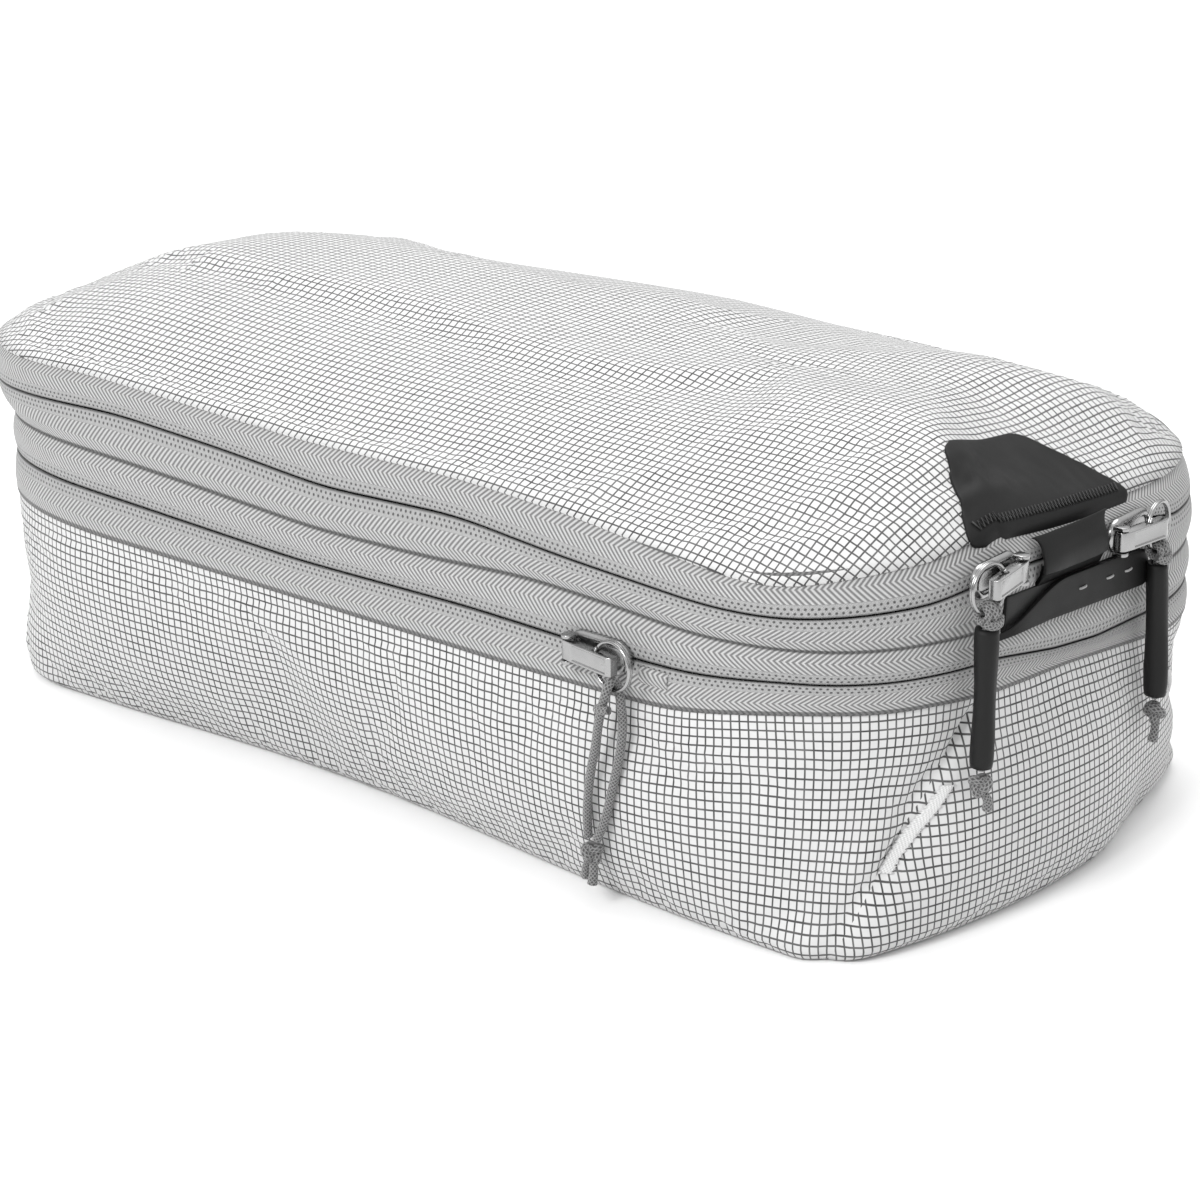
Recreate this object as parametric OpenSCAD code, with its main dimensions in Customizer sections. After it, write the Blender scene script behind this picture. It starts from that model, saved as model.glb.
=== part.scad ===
// Compression packing cube with two perimeter zips, a front pull tab and a rear handle.
// Units are millimetres. The origin is at the centre of the underside, +Z is up,
// +X points to the front end where both main sliders park when the lid is closed.

/* [Body] */
// Outside length, end to end
body_l = 340; // [280:5:420]
// Outside width, side to side
body_w = 184; // [150:2:240]
// Plan radius of the four upright corners
corner_r = 60; // [40:2:80]
// Height of the ripstop wall below the lower zip tape
shell_h = 58.5; // [40:1:90]
// Radius where the wall turns into the floor
floor_r = 10; // [4:1:20]
// Rise of the domed lid above its seam
dome_rise = 18; // [8:1:30]
// Thickness of the ripstop panels with their seam allowance
panel_t = 1.5; // [1:0.1:3]

/* [Zips] */
// Visible width of one zip tape, from its seam to the teeth
tape_w = 11.6; // [8:0.1:16]
// Thickness of a zip tape
tape_t = 1.2; // [0.8:0.1:2]
// Height of the coil along one tape edge
coil_h = 2.4; // [1.6:0.1:4]
// Depth of the coil behind the tape
coil_t = 1.4; // [1:0.1:2.4]
// Open slot between two facing tapes, where the slider keel runs
zip_gap = 1.6; // [1:0.1:3]

/* [Sliders] */
// Length of the slider cover along the zip
slider_l = 20; // [14:0.5:26]
// Height of the slider cover across the zip
slider_h = 9.6; // [6:0.2:14]
// Thickness of the slider cover
slider_t = 2.2; // [1.5:0.1:4]
// Length of the metal puller bar
puller_l = 18.5; // [14:0.5:30]
// Height of the metal puller bar
puller_h = 5.2; // [4:0.2:9]
// Thickness of the metal puller bar
puller_t = 3; // [2:0.1:4]
// Outside diameter of the split ring
ring_d = 14; // [9:0.5:20]
// Wire diameter of the split ring
ring_wire = 1.3; // [1:0.1:2]
// Distance of the compression slider from the middle of the long side
comp_x = 87; // [40:1:100]

/* [Pulls] */
// Length of the rubber sleeve on a main pull
sleeve_l = 37; // [20:1:60]
// Outside diameter of the rubber sleeve
sleeve_d = 6; // [5:0.2:9]
// Diameter of the cord inside the sleeve
main_cord_d = 2.4; // [1.6:0.1:4]
// Diameter of the looped cord on the compression slider
comp_cord_d = 2.4; // [1.6:0.1:4]
// Diameter of a knot at the end of a pull
knot_d = 7.6; // [5:0.2:12]

/* [Tabs and handle] */
// Width of the pull tab neck that folds down over the main zip
neck_w = 30; // [16:1:44]
// Width of the patch along the lid seam
patch_w = 70; // [40:1:90]
// Width of the patch at its inner end
patch_top_w = 36; // [16:1:50]
// Length of the patch up the lid
patch_l = 22; // [14:1:40]
// Thickness of the coated tab material
tab_t = 1.2; // [0.8:0.1:2]
// Length of the lower tab along the front end
lower_tab_l = 72; // [50:1:90]
// Height of the lower tab
lower_tab_h = 9; // [6:0.5:14]
// Length of the rear grab handle between its sewn ends
handle_l = 84; // [50:1:120]
// Height of the handle webbing
handle_h = 15; // [10:1:20]
// Sideways place of the tabs and main sliders, a little left of the middle
front_y = -8; // [-10:0.5:0]

/* [Hidden] */
$fn = 64;
eps = 0.01;
body_gap = 0.4;

straight_x = body_l / 2 - corner_r;
straight_y = body_w / 2 - corner_r;
front_x = body_l / 2;
side_y = body_w / 2;

comp_zip_z = shell_h + tape_w;
mid_seam_z = comp_zip_z + tape_w;
main_zip_z = mid_seam_z + tape_w;
lid_seam_z = main_zip_z + tape_w;
top_z = lid_seam_z + dome_rise;

// The dome is a ball of this radius at the corners and a barrel along the sides.
dome_r = (corner_r * corner_r + dome_rise * dome_rise) / (2 * dome_rise);

gusset_r = corner_r - tape_t - coil_t - 0.8;
gusset_t = 1;
gusset_low_z = shell_h + 1;
gusset_high_z = mid_seam_z - 0.6;

slider_stand = 0.3;
cover_x = slider_stand + slider_t;
keel_h = zip_gap - 2 * body_gap;
keel_depth = 1.4;

// The puller turns on a post near the slider's inner end and carries the ring in an eye.
pivot_in = 9.5;
post_d = 2.6;
puller_x = cover_x + body_gap + puller_t / 2;
puller_lift = 8;
eye_d = 4.6;
eye_bore = 2.5;
eye_reach = 10.2;
ring_r = (ring_d - ring_wire) / 2;
ring_bend = 0.35;

main_ring_turn = 14;
comp_ring_turn = 0;
main_slider_y = straight_y;
knot_gap = 0.3;

// Points of a cord hooked over the ring wire, in the pull's frame: X away from the body,
// Z up, zero at the centre of the wire at the foot of the ring.
main_cord_route = [
    [0, 0, -42], [0, 0, -35], [0, 0, -29], [0, 0, -23], [0, 0, -17], [0, 0, -11], [0, 0, -6],
    [0.1, 0, -4], [1.1, 0, -2], [2, 0, -0.2], [1.7, 0, 1.2], [0.8, 0, 2], [-0.4, 0, 2.1],
    [-1.5, 0, 1.4], [-2, 0, 0], [-2, 0, -1.4]
];
sleeve_top_z = -4;
main_knot_z = -42 - knot_gap - knot_d / 2;

// Points of the doubled cord on the compression ring, up the inner strand and down the outer.
comp_cord_route = [
    [-0.6, 6.4, -44], [-1.4, 4.2, -38], [-1.9, 2.6, -31], [-2.2, 1, -24], [-2.3, -0.6, -17],
    [-2.3, -1.4, -10], [-2.2, -1, -5], [-2.1, -0.4, -1.5], [-1.9, 0, 0.4], [-1.1, 0, 1.7],
    [0, 0, 2.1], [1.1, 0, 1.7], [1.9, 0, 0.4], [2.2, 0.4, -1.5], [2.2, 1.6, -5],
    [1.8, 3.2, -10], [1.2, 5, -17], [0.8, 7, -24], [0.3, 8.6, -31], [-0.2, 9.6, -38],
    [-0.6, 9.6, -44]
];
comp_knot_at = [-0.6, 8, -44 - knot_gap - knot_d / 2];
cord_sides = 8;

white = [0.93, 0.93, 0.92];
tape_grey = [0.62, 0.62, 0.62];
coil_grey = [0.3, 0.3, 0.3];
coated_black = [0.13, 0.13, 0.13];
steel = [0.66, 0.66, 0.67];
cord_grey = [0.55, 0.55, 0.55];

// ---- shared shapes ----

// Sweeps the child profile round the plan outline. The profile's X is the distance from
// the corner axes, its Y is height.
module around() {
    for (sx = [-1, 1], sy = [-1, 1]) {
        translate([sx * straight_x, sy * straight_y, 0])
            rotate([0, 0, sx > 0 ? (sy > 0 ? 0 : -90) : (sy > 0 ? 90 : 180)])
                rotate_extrude(angle = 90) children();
    }
    for (turn = [0, 180]) {
        rotate([0, 0, turn])
            translate([straight_x, straight_y, 0])
                rotate([90, 0, 0]) linear_extrude(2 * straight_y) children();
        rotate([0, 0, turn + 90])
            translate([straight_y, straight_x, 0])
                rotate([90, 0, 0]) linear_extrude(2 * straight_x) children();
    }
}

// A band standing on the outline, from one height to another.
module band(outer, thick, low, high) {
    around() translate([outer - thick, low]) square([thick, high - low]);
}

// A flat slab in the middle of the outline, inside the corner axes.
module middle_slab(low, high) {
    translate([-straight_x, -straight_y, low])
        cube([2 * straight_x, 2 * straight_y, high - low]);
}

// Puts children against the front end at a width position and a height.
module on_front(y, z) {
    translate([front_x, y, z]) children();
}

// Puts children on an upright corner, turned by an angle from the end face.
module on_corner(sx, sy, turn, z) {
    translate([sx * straight_x, sy * straight_y, z])
        rotate([0, 0, sx > 0 ? sy * turn : 180 - sy * turn])
            translate([corner_r, 0, 0]) children();
}

function unit(v) = v / norm(v);
function heading(route, i) =
    unit(route[min(i + 1, len(route) - 1)] - route[max(i - 1, 0)]);
function hoop(centre, along, side, r) =
    let (a = unit(side - (side * along) * along), b = cross(along, a))
    [for (k = [0:cord_sides - 1])
        centre + r * (cos(360 * k / cord_sides) * a + sin(360 * k / cord_sides) * b)];

// A round cord along a route; side is a direction the route never points in.
module cord(route, diameter, side) {
    n = len(route);
    points = [for (i = [0:n - 1]) each hoop(route[i], heading(route, i), side, diameter / 2)];
    walls = [for (i = [0:n - 2], k = [0:cord_sides - 1])
        let (j = (k + 1) % cord_sides, a = i * cord_sides, b = a + cord_sides)
        each [[a + k, b + k, b + j], [a + k, b + j, a + j]]];
    start_cap = [[for (k = [0:cord_sides - 1]) k]];
    end_cap = [[for (k = [cord_sides - 1:-1:0]) (n - 1) * cord_sides + k]];
    polyhedron(points, concat(walls, start_cap, end_cap), convexity = 6);
}

// ---- lower body ----

module shell_profile() {
    difference() {
        union() {
            square([corner_r - floor_r, panel_t]);
            translate([corner_r - panel_t, floor_r]) square([panel_t, shell_h - floor_r]);
            translate([corner_r - floor_r, floor_r]) intersection() {
                circle(floor_r);
                translate([0, -floor_r]) square(floor_r);
            }
        }
        translate([corner_r - floor_r, floor_r]) circle(floor_r - panel_t);
    }
}

module lower_shell() {
    color(white) {
        around() shell_profile();
        middle_slab(0, panel_t);
    }
}

module comp_tape_lower() {
    color(tape_grey) band(corner_r, tape_t, shell_h, comp_zip_z - zip_gap / 2);
}

module comp_coil_lower() {
    top = comp_zip_z - zip_gap / 2;
    color(coil_grey) band(corner_r - tape_t, coil_t, top - coil_h, top);
}

// Folded tape end beside the parked compression slider.
module comp_tape_end() {
    end_l = 9;
    end_h = 5;
    color(white)
        translate([comp_x + slider_l / 2 + 2, -side_y - 1.2, comp_zip_z - zip_gap / 2 - end_h])
            cube([end_l, 1.2, end_h]);
}

// Sewn tab over the dart seam of one lower corner.
module bar_tack(sx, sy) {
    tack_l = 21;
    tack_w = 4;
    tack_t = 1;
    turn = 29;
    lean = 30;
    mid_z = 32;
    color(white)
        on_corner(sx, sy, turn, mid_z)
            rotate([sx * sy * lean, 0, 0])
                translate([0, -tack_w / 2, -tack_l / 2]) cube([tack_t, tack_w, tack_l]);
}

// Folded fabric wall that lets the two halves move apart when the lower zip is open.
module expansion_gusset() {
    color(white) band(gusset_r, gusset_t, gusset_low_z, gusset_high_z);
}

// ---- upper band ----

module comp_tape_upper() {
    color(tape_grey) band(corner_r, tape_t, comp_zip_z + zip_gap / 2, mid_seam_z);
}

module comp_coil_upper() {
    low = comp_zip_z + zip_gap / 2;
    color(coil_grey) band(corner_r - tape_t, coil_t, low, low + coil_h);
}

module main_tape_lower() {
    color(tape_grey) band(corner_r, tape_t, mid_seam_z, main_zip_z - zip_gap / 2);
}

module main_coil_lower() {
    top = main_zip_z - zip_gap / 2;
    color(coil_grey) band(corner_r - tape_t, coil_t, top - coil_h, top);
}

// Rounded grip under the main zip, to hold while the sliders are pulled apart.
module lower_pull_tab() {
    end_r = lower_tab_h / 2;
    color(coated_black)
        on_front(front_y, mid_seam_z)
            translate([0, 0, -lower_tab_h / 3])
                rotate([90, 0, 90])
                    linear_extrude(tab_t)
                        union() {
                            translate([-lower_tab_l / 2, 0])
                                square([lower_tab_l - end_r, lower_tab_h]);
                            translate([lower_tab_l / 2 - end_r, end_r]) circle(end_r);
                        }
}

// Part of the grip turned back over itself at the left.
module lower_tab_fold() {
    fold_l = 26;
    fold_h = lower_tab_h - 2.6;
    color(coated_black)
        on_front(front_y - lower_tab_l / 2 + 6, mid_seam_z - lower_tab_h / 3 + 1.3)
            translate([tab_t, 0, 0]) cube([tab_t, fold_l, fold_h]);
}

handle_low_z = mid_seam_z - 9.5;
handle_ramp = 12;
handle_stand = 5;

module handle_anchor(sy) {
    anchor_l = 12;
    color(coated_black)
        translate([-front_x - tab_t, sy * (handle_l + anchor_l) / 2 - anchor_l / 2, handle_low_z])
            cube([tab_t, anchor_l, handle_h]);
}

// Plan of a strip that runs flat, then steps out from the wall between its two ramps.
module stepped_plan(half) {
    polygon([
        [0, -half], [0, half], [tab_t, half], [handle_stand + tab_t, half - handle_ramp],
        [handle_stand + tab_t, handle_ramp - half], [tab_t, -half]
    ]);
}

// Webbing strap that stands off the far end far enough for two fingers.
module rear_handle() {
    half = handle_l / 2 - body_gap;
    inset = 5;
    color(coated_black)
        translate([-front_x - body_gap, 0, handle_low_z]) mirror([1, 0, 0])
            linear_extrude(handle_h)
                difference() {
                    stepped_plan(half);
                    translate([-tab_t, 0]) stepped_plan(half - inset);
                }
}

// ---- lid ----

module dome_profile() {
    intersection() {
        translate([0, lid_seam_z]) square([corner_r, dome_rise]);
        translate([0, top_z - dome_r]) difference() {
            circle(dome_r, $fn = 360);
            circle(dome_r - panel_t, $fn = 360);
        }
    }
}

module lid_panel() {
    color(white) {
        around() dome_profile();
        middle_slab(top_z - panel_t, top_z);
    }
}

module lid_tape() {
    color(tape_grey) band(corner_r, tape_t, main_zip_z + zip_gap / 2, lid_seam_z);
}

module lid_coil() {
    low = main_zip_z + zip_gap / 2;
    color(coil_grey) band(corner_r - tape_t, coil_t, low, low + coil_h);
}

// Tapered outline of the patch, seen square on, with its wide edge at the seam.
module patch_outline() {
    round_r = 4;
    hull() {
        for (s = [-1, 1]) {
            translate([-round_r, s * (patch_w / 2 - round_r)]) circle(round_r);
            translate([round_r - patch_l, s * (patch_top_w / 2 - round_r)]) circle(round_r);
        }
    }
}

// Patch that lies on the dome; it's a slice of the layer just above the lid.
module lid_patch() {
    color(coated_black) intersection() {
        translate([front_x - 1, front_y, lid_seam_z - 5]) linear_extrude(dome_rise + 10) patch_outline();
        translate([straight_x, front_y, top_z - dome_r]) rotate([90, 0, 0])
            linear_extrude(patch_w + 2, center = true)
                difference() {
                    circle(dome_r + tab_t, $fn = 360);
                    circle(dome_r, $fn = 360);
                }
    }
}

// Strap that leaves the patch and hangs down over the main zip between the sliders.
module lid_tab_neck() {
    drop = 18;
    stand = 0.4;
    color(coated_black)
        on_front(front_y - neck_w / 2, lid_seam_z + tab_t)
            translate([stand, 0, -drop]) cube([tab_t, neck_w, drop]);
}

// ---- sliders and pulls ----

// Cover plate with rounded ends, a keel in the zip slot and the bridge for the puller.
module slider_body() {
    end_r = slider_h / 2;
    color(steel) {
        translate([slider_stand, 0, 0]) rotate([90, 0, 90]) linear_extrude(slider_t) {
            square([slider_l - slider_h, slider_h], center = true);
            for (s = [-1, 1]) translate([s * (slider_l - slider_h) / 2, 0]) circle(end_r);
        }
        translate([-keel_depth, -slider_l / 4, -keel_h / 2])
            cube([keel_depth + slider_stand + eps, slider_l / 2, keel_h]);
        translate([cover_x - eps, pivot_in, 0]) bridge_cheeks();
    }
}

// Two cheeks that hold the puller's post between them.
module bridge_cheeks() {
    cheek_t = 1;
    cheek_l = puller_t + 2 * body_gap;
    for (s = [-1, 1])
        translate([0, -post_d, s * (puller_h / 2 + body_gap + cheek_t / 2) - cheek_t / 2])
            cube([cheek_l, post_d, cheek_t]);
}

// Moves children to the puller's post, with the bar raised by its rest angle.
module at_puller() {
    translate([puller_x, pivot_in - post_d / 2, 0]) rotate([0, 0, puller_lift]) children();
}

// Bar from the bridge past the ring eye to its tip, pointing along -Y.
module puller_bar() {
    bar_l = puller_l - post_d / 2;
    color(steel) at_puller() difference() {
        union() {
            translate([-puller_t / 2, -bar_l, -puller_h / 2]) cube([puller_t, bar_l, puller_h]);
            translate([0, 0, -puller_h / 2]) cylinder(d = puller_t, h = puller_h);
            translate([0, -eye_reach, -puller_h / 2]) cylinder(d = eye_d, h = puller_h);
        }
        translate([0, -eye_reach - ring_bend, -puller_h]) cylinder(d = eye_bore, h = 2 * puller_h);
    }
}

// Moves children to the centre of the ring, with X square to its plane.
module at_ring(turn) {
    at_puller() translate([0, -eye_reach, 0]) rotate([0, 0, -turn])
        translate([0, -ring_r, 0]) children();
}

// Moves children to the foot of the ring.
module at_ring_foot(turn) {
    at_ring(turn) translate([0, 0, -ring_r]) children();
}

module pull_ring(turn) {
    color(steel) at_ring(turn) rotate([0, 90, 0])
        rotate_extrude() translate([ring_r, 0]) circle(d = ring_wire, $fn = 24);
}

// Single cord hooked over the ring, running down through the sleeve.
module main_cord() {
    color(cord_grey) at_ring_foot(main_ring_turn) cord(main_cord_route, main_cord_d, [0, 1, 0]);
}

module pull_sleeve() {
    bore = main_cord_d + 1;
    color(coated_black)
        at_ring_foot(main_ring_turn) translate([0, 0, sleeve_top_z - sleeve_l]) difference() {
            cylinder(d = sleeve_d, h = sleeve_l);
            translate([0, 0, -1]) cylinder(d = bore, h = sleeve_l + 2);
        }
}

// Knot seen as a ball with one turn of cord round its waist.
module knot(diameter) {
    turn_d = diameter * 0.4;
    color(cord_grey) {
        sphere(d = diameter * 0.84, $fn = 48);
        rotate([20, 15, 0]) rotate_extrude() translate([(diameter - turn_d) / 2, 0])
            circle(d = turn_d, $fn = 24);
    }
}

module main_knot() {
    at_ring_foot(main_ring_turn) translate([0, 0, main_knot_z]) knot(knot_d);
}

// Places a left-hand pull, or its mirror image on the right, at the main zip.
module main_place(sy) {
    translate([0, front_y, 0])
        mirror([0, sy > 0 ? 1 : 0, 0]) on_front(-main_slider_y, main_zip_z) children();
}

// Places a pull on the long side at the compression zip, its bar pointing along +X.
module comp_place() {
    translate([comp_x, -side_y, comp_zip_z]) mirror([1, 0, 0]) rotate([0, 0, -90]) children();
}

module comp_cord() {
    color(cord_grey) at_ring_foot(comp_ring_turn) cord(comp_cord_route, comp_cord_d, [0, 1, 0]);
}

module comp_knot() {
    at_ring_foot(comp_ring_turn) translate(comp_knot_at) knot(knot_d);
}

// ---- nodes ----

lower_shell();
comp_tape_lower();
comp_coil_lower();
comp_tape_end();
bar_tack(1, -1);  // bar_tack_front_left
bar_tack(1, 1);  // bar_tack_front_right
bar_tack(-1, -1);  // bar_tack_rear_left
bar_tack(-1, 1);  // bar_tack_rear_right
expansion_gusset();
comp_tape_upper();
comp_coil_upper();
main_tape_lower();
main_coil_lower();
lower_pull_tab();
lower_tab_fold();
handle_anchor(-1);  // handle_anchor_left
handle_anchor(1);  // handle_anchor_right
rear_handle();
lid_panel();
lid_tape();
lid_coil();
lid_patch();
lid_tab_neck();
main_place(-1) slider_body();  // slider_left
main_place(-1) puller_bar();  // puller_left
main_place(-1) pull_ring(main_ring_turn);  // ring_left
main_place(-1) main_cord();  // cord_left
main_place(-1) pull_sleeve();  // sleeve_left
main_place(-1) main_knot();  // knot_left
main_place(1) slider_body();  // slider_right
main_place(1) puller_bar();  // puller_right
main_place(1) pull_ring(main_ring_turn);  // ring_right
main_place(1) main_cord();  // cord_right
main_place(1) pull_sleeve();  // sleeve_right
main_place(1) main_knot();  // knot_right
comp_place() slider_body();  // slider_comp
comp_place() puller_bar();  // puller_comp
comp_place() pull_ring(comp_ring_turn);  // ring_comp
comp_place() comp_cord();  // cord_comp
comp_place() comp_knot();  // knot_comp
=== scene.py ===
"""Looks of the packing cube: ripstop cloth, twill zip bands, coated tabs, metal sliders and cords.

Lengths are millimetres until mesh_from turns them into metres. X runs from the handle at the rear
to the main sliders at the front, and the expansion slider is on the near side, towards -Y.
"""
import functools
import math

import bmesh
import bpy
import numpy as np
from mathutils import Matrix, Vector
from mathutils.bvhtree import BVHTree


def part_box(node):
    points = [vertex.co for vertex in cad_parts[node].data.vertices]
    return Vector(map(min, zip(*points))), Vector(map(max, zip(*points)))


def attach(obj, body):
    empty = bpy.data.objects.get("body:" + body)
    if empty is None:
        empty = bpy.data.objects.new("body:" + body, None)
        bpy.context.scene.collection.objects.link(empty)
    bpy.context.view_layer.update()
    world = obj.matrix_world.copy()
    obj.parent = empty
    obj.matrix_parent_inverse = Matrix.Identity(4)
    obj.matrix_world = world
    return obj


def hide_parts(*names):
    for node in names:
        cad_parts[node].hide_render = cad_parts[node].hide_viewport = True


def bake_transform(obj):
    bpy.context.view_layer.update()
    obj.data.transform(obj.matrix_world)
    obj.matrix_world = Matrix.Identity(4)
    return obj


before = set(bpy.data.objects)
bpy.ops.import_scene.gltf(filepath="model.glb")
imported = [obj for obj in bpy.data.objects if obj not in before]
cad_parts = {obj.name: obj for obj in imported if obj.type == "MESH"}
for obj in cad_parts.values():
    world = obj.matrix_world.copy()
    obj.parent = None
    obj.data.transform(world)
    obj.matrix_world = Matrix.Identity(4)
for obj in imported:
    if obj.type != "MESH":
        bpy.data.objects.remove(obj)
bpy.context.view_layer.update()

MM = 0.001

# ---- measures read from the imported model, in millimetres ----


def node_box(node):
    """Lowest and highest corner of a CAD node, in millimetres."""
    low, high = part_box(node)
    return np.array(low) / MM, np.array(high) / MM


HALF_L, HALF_W, SHELL_H = node_box("lower_shell")[1]
CORNER_R = 60.0
COMP_ZIP = (node_box("comp_tape_lower")[1][2] + node_box("comp_tape_upper")[0][2]) / 2
MID_SEAM = node_box("comp_tape_upper")[1][2]
MAIN_ZIP = (node_box("main_tape_lower")[1][2] + node_box("lid_tape")[0][2]) / 2
LID_SEAM = node_box("lid_tape")[1][2]
TOP = node_box("lid_panel")[1][2]
ZIP_SLOT = 0.6


# ---- small helpers for shapes ----

# Pieces and the bodies they ride on, once everything is made.
PENDING = []


def smooth(t):
    """Ease from 0 to 1."""
    t = np.clip(t, 0.0, 1.0)
    return t * t * (3 - 2 * t)


def bump_at(x, centre, width):
    """Bell of height 1 at a place along a line."""
    return np.exp(-((x - centre) / width) ** 2)


def ripple(x, y, seed):
    """Smooth repeatable noise from a few waves, about -1 to 1."""
    rng = np.random.default_rng(seed)
    total = np.zeros(np.broadcast(x, y).shape)
    for _ in range(7):
        angle = rng.uniform(0, 2 * math.pi)
        freq = rng.uniform(0.6, 1.7)
        phase = rng.uniform(0, 2 * math.pi)
        total = total + np.sin(freq * (x * math.cos(angle) + y * math.sin(angle)) + phase)
    return total / 4.0


def new_object(name, mesh, material, body, replaces=()):
    """Link a mesh as a piece that rides on a body."""
    obj = bpy.data.objects.new(name, mesh)
    bpy.context.scene.collection.objects.link(obj)
    mesh.materials.append(material)
    for poly in mesh.polygons:
        poly.use_smooth = True
    if replaces:
        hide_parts(*replaces)
    PENDING.append((obj, body))
    return obj


def mesh_from(name, verts_mm, faces, uvs=None):
    """Mesh in metres from millimetre points; uvs holds one pair per face corner."""
    mesh = bpy.data.meshes.new(name)
    mesh.from_pydata([tuple(v * MM for v in p) for p in verts_mm], [], faces)
    if uvs is not None:
        layer = mesh.uv_layers.new(name="cloth")
        flat = np.array([c for face in uvs for c in face], dtype=np.float32).reshape(-1)
        layer.data.foreach_set("uv", flat * np.float32(MM))
    mesh.validate()
    mesh.update()
    return mesh


def add_thickness(obj, mm, even=True):
    """Give a sheet real thickness towards its inner side; even keeps it equal round bends."""
    mod = obj.modifiers.new("thickness", "SOLIDIFY")
    mod.thickness = mm * MM
    mod.offset = -1.0
    mod.use_even_offset = even


def settle_cloth(obj, pinned, growth, cap, frames=16):
    """Lets a sheet that is cut a little too large settle under soft pressure from inside.

    pinned holds the vertices that are sewn down; no point moves further than cap millimetres.
    """
    group = obj.vertex_groups.new(name="sewn")
    group.add(pinned, 1.0, "REPLACE")
    mod = obj.modifiers.new("cloth", "CLOTH")
    cloth = mod.settings
    cloth.quality = 6
    cloth.mass = 0.12
    cloth.tension_stiffness = 30
    cloth.compression_stiffness = 30
    cloth.shear_stiffness = 12
    cloth.bending_stiffness = 0.4
    cloth.vertex_group_mass = "sewn"
    cloth.shrink_min = -growth
    cloth.use_pressure = True
    cloth.uniform_pressure_force = 2.0
    cloth.effector_weights.gravity = 0.0
    mod.collision_settings.use_collision = False
    mod.point_cache.frame_start = 1
    mod.point_cache.frame_end = frames
    rest = points_of(obj.data)
    for frame_number in range(1, frames + 1):
        bpy.context.scene.frame_set(frame_number)
    graph = bpy.context.evaluated_depsgraph_get()
    moved = points_of(obj.evaluated_get(graph).data) - rest
    obj.modifiers.clear()
    bpy.context.scene.frame_set(1)
    reach = np.linalg.norm(moved, axis=1, keepdims=True)
    moved = moved / np.maximum(reach, 1e-9) * cap * MM * np.tanh(reach / (cap * MM))
    obj.data.vertices.foreach_set("co", (rest + moved).astype(np.float32).ravel())
    obj.data.update()


def points_of(mesh):
    """Vertex places of a mesh as an array."""
    flat = np.zeros(len(mesh.vertices) * 3, np.float32)
    mesh.vertices.foreach_get("co", flat)
    return flat.reshape(-1, 3).astype(float)


def add_bevel(obj, mm, segments=3, angle=35):
    """Round the edges of a hard piece."""
    mod = obj.modifiers.new("bevel", "BEVEL")
    mod.width = mm * MM
    mod.segments = segments
    mod.limit_method = "ANGLE"
    mod.angle_limit = math.radians(angle)
    mod.harden_normals = False


def apply_modifiers(obj):
    """Bake the modifier stack into the mesh."""
    bpy.context.view_layer.update()
    graph = bpy.context.evaluated_depsgraph_get()
    mesh = bpy.data.meshes.new_from_object(obj.evaluated_get(graph))
    obj.modifiers.clear()
    obj.data = mesh
    for poly in mesh.polygons:
        poly.use_smooth = True


# ---- node materials ----


class Nodes:
    """Short way to wire a node tree."""

    def __init__(self, name):
        self.mat = bpy.data.materials.new(name)
        self.mat.use_nodes = True
        self.tree = self.mat.node_tree
        self.bsdf = self.tree.nodes["Principled BSDF"]

    def add(self, kind, **props):
        node = self.tree.nodes.new(kind)
        for key, value in props.items():
            setattr(node, key, value)
        return node

    def link(self, out, into):
        self.tree.links.new(out, into)

    def feed(self, socket, value):
        if isinstance(value, bpy.types.NodeSocket):
            self.link(value, socket)
        else:
            socket.default_value = value

    def math(self, op, a, b=0.0, c=None, clamp=False):
        node = self.add("ShaderNodeMath", operation=op, use_clamp=clamp)
        self.feed(node.inputs[0], a)
        self.feed(node.inputs[1], b)
        if c is not None:
            self.feed(node.inputs[2], c)
        return node.outputs[0]

    def uv(self):
        node = self.add("ShaderNodeUVMap", uv_map="cloth")
        split = self.add("ShaderNodeSeparateXYZ")
        self.link(node.outputs[0], split.inputs[0])
        return split.outputs[0], split.outputs[1]

    def object_point(self):
        return self.add("ShaderNodeTexCoord").outputs["Object"]

    def noise(self, scale, detail=2.0, roughness=0.5, vector=None):
        node = self.add("ShaderNodeTexNoise")
        node.inputs["Scale"].default_value = scale
        node.inputs["Detail"].default_value = detail
        node.inputs["Roughness"].default_value = roughness
        self.link(vector or self.object_point(), node.inputs["Vector"])
        return node.outputs["Fac"]

    def mix(self, factor, a, b):
        node = self.add("ShaderNodeMix", data_type="RGBA")
        self.feed(node.inputs[0], factor)
        self.feed(node.inputs[6], a)
        self.feed(node.inputs[7], b)
        return node.outputs[2]

    def remap(self, value, low, high, to_low=0.0, to_high=1.0):
        node = self.add("ShaderNodeMapRange")
        self.feed(node.inputs[0], value)
        for index, number in ((1, low), (2, high), (3, to_low), (4, to_high)):
            node.inputs[index].default_value = number
        return node.outputs[0]

    def bump(self, height, distance, strength=1.0, under=None):
        node = self.add("ShaderNodeBump")
        node.inputs["Strength"].default_value = strength
        node.inputs["Distance"].default_value = distance
        self.feed(node.inputs["Height"], height)
        if under is not None:
            self.link(under, node.inputs["Normal"])
        return node.outputs[0]

    def finish(self, color, rough, normal=None, **sockets):
        self.feed(self.bsdf.inputs["Base Color"], color)
        self.feed(self.bsdf.inputs["Roughness"], rough)
        if normal is not None:
            self.link(normal, self.bsdf.inputs["Normal"])
        for key, value in sockets.items():
            self.bsdf.inputs[key.replace("_", " ")].default_value = value
        return self.mat

    def stripe(self, value, pitch, width):
        """1 on a line of the given width once every pitch, with a soft edge."""
        place = self.math("PINGPONG", value, pitch / 2)
        return self.remap(place, width / 2 + 0.00006, width / 2 - 0.00006)


GRID = 2.32 * MM


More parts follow.
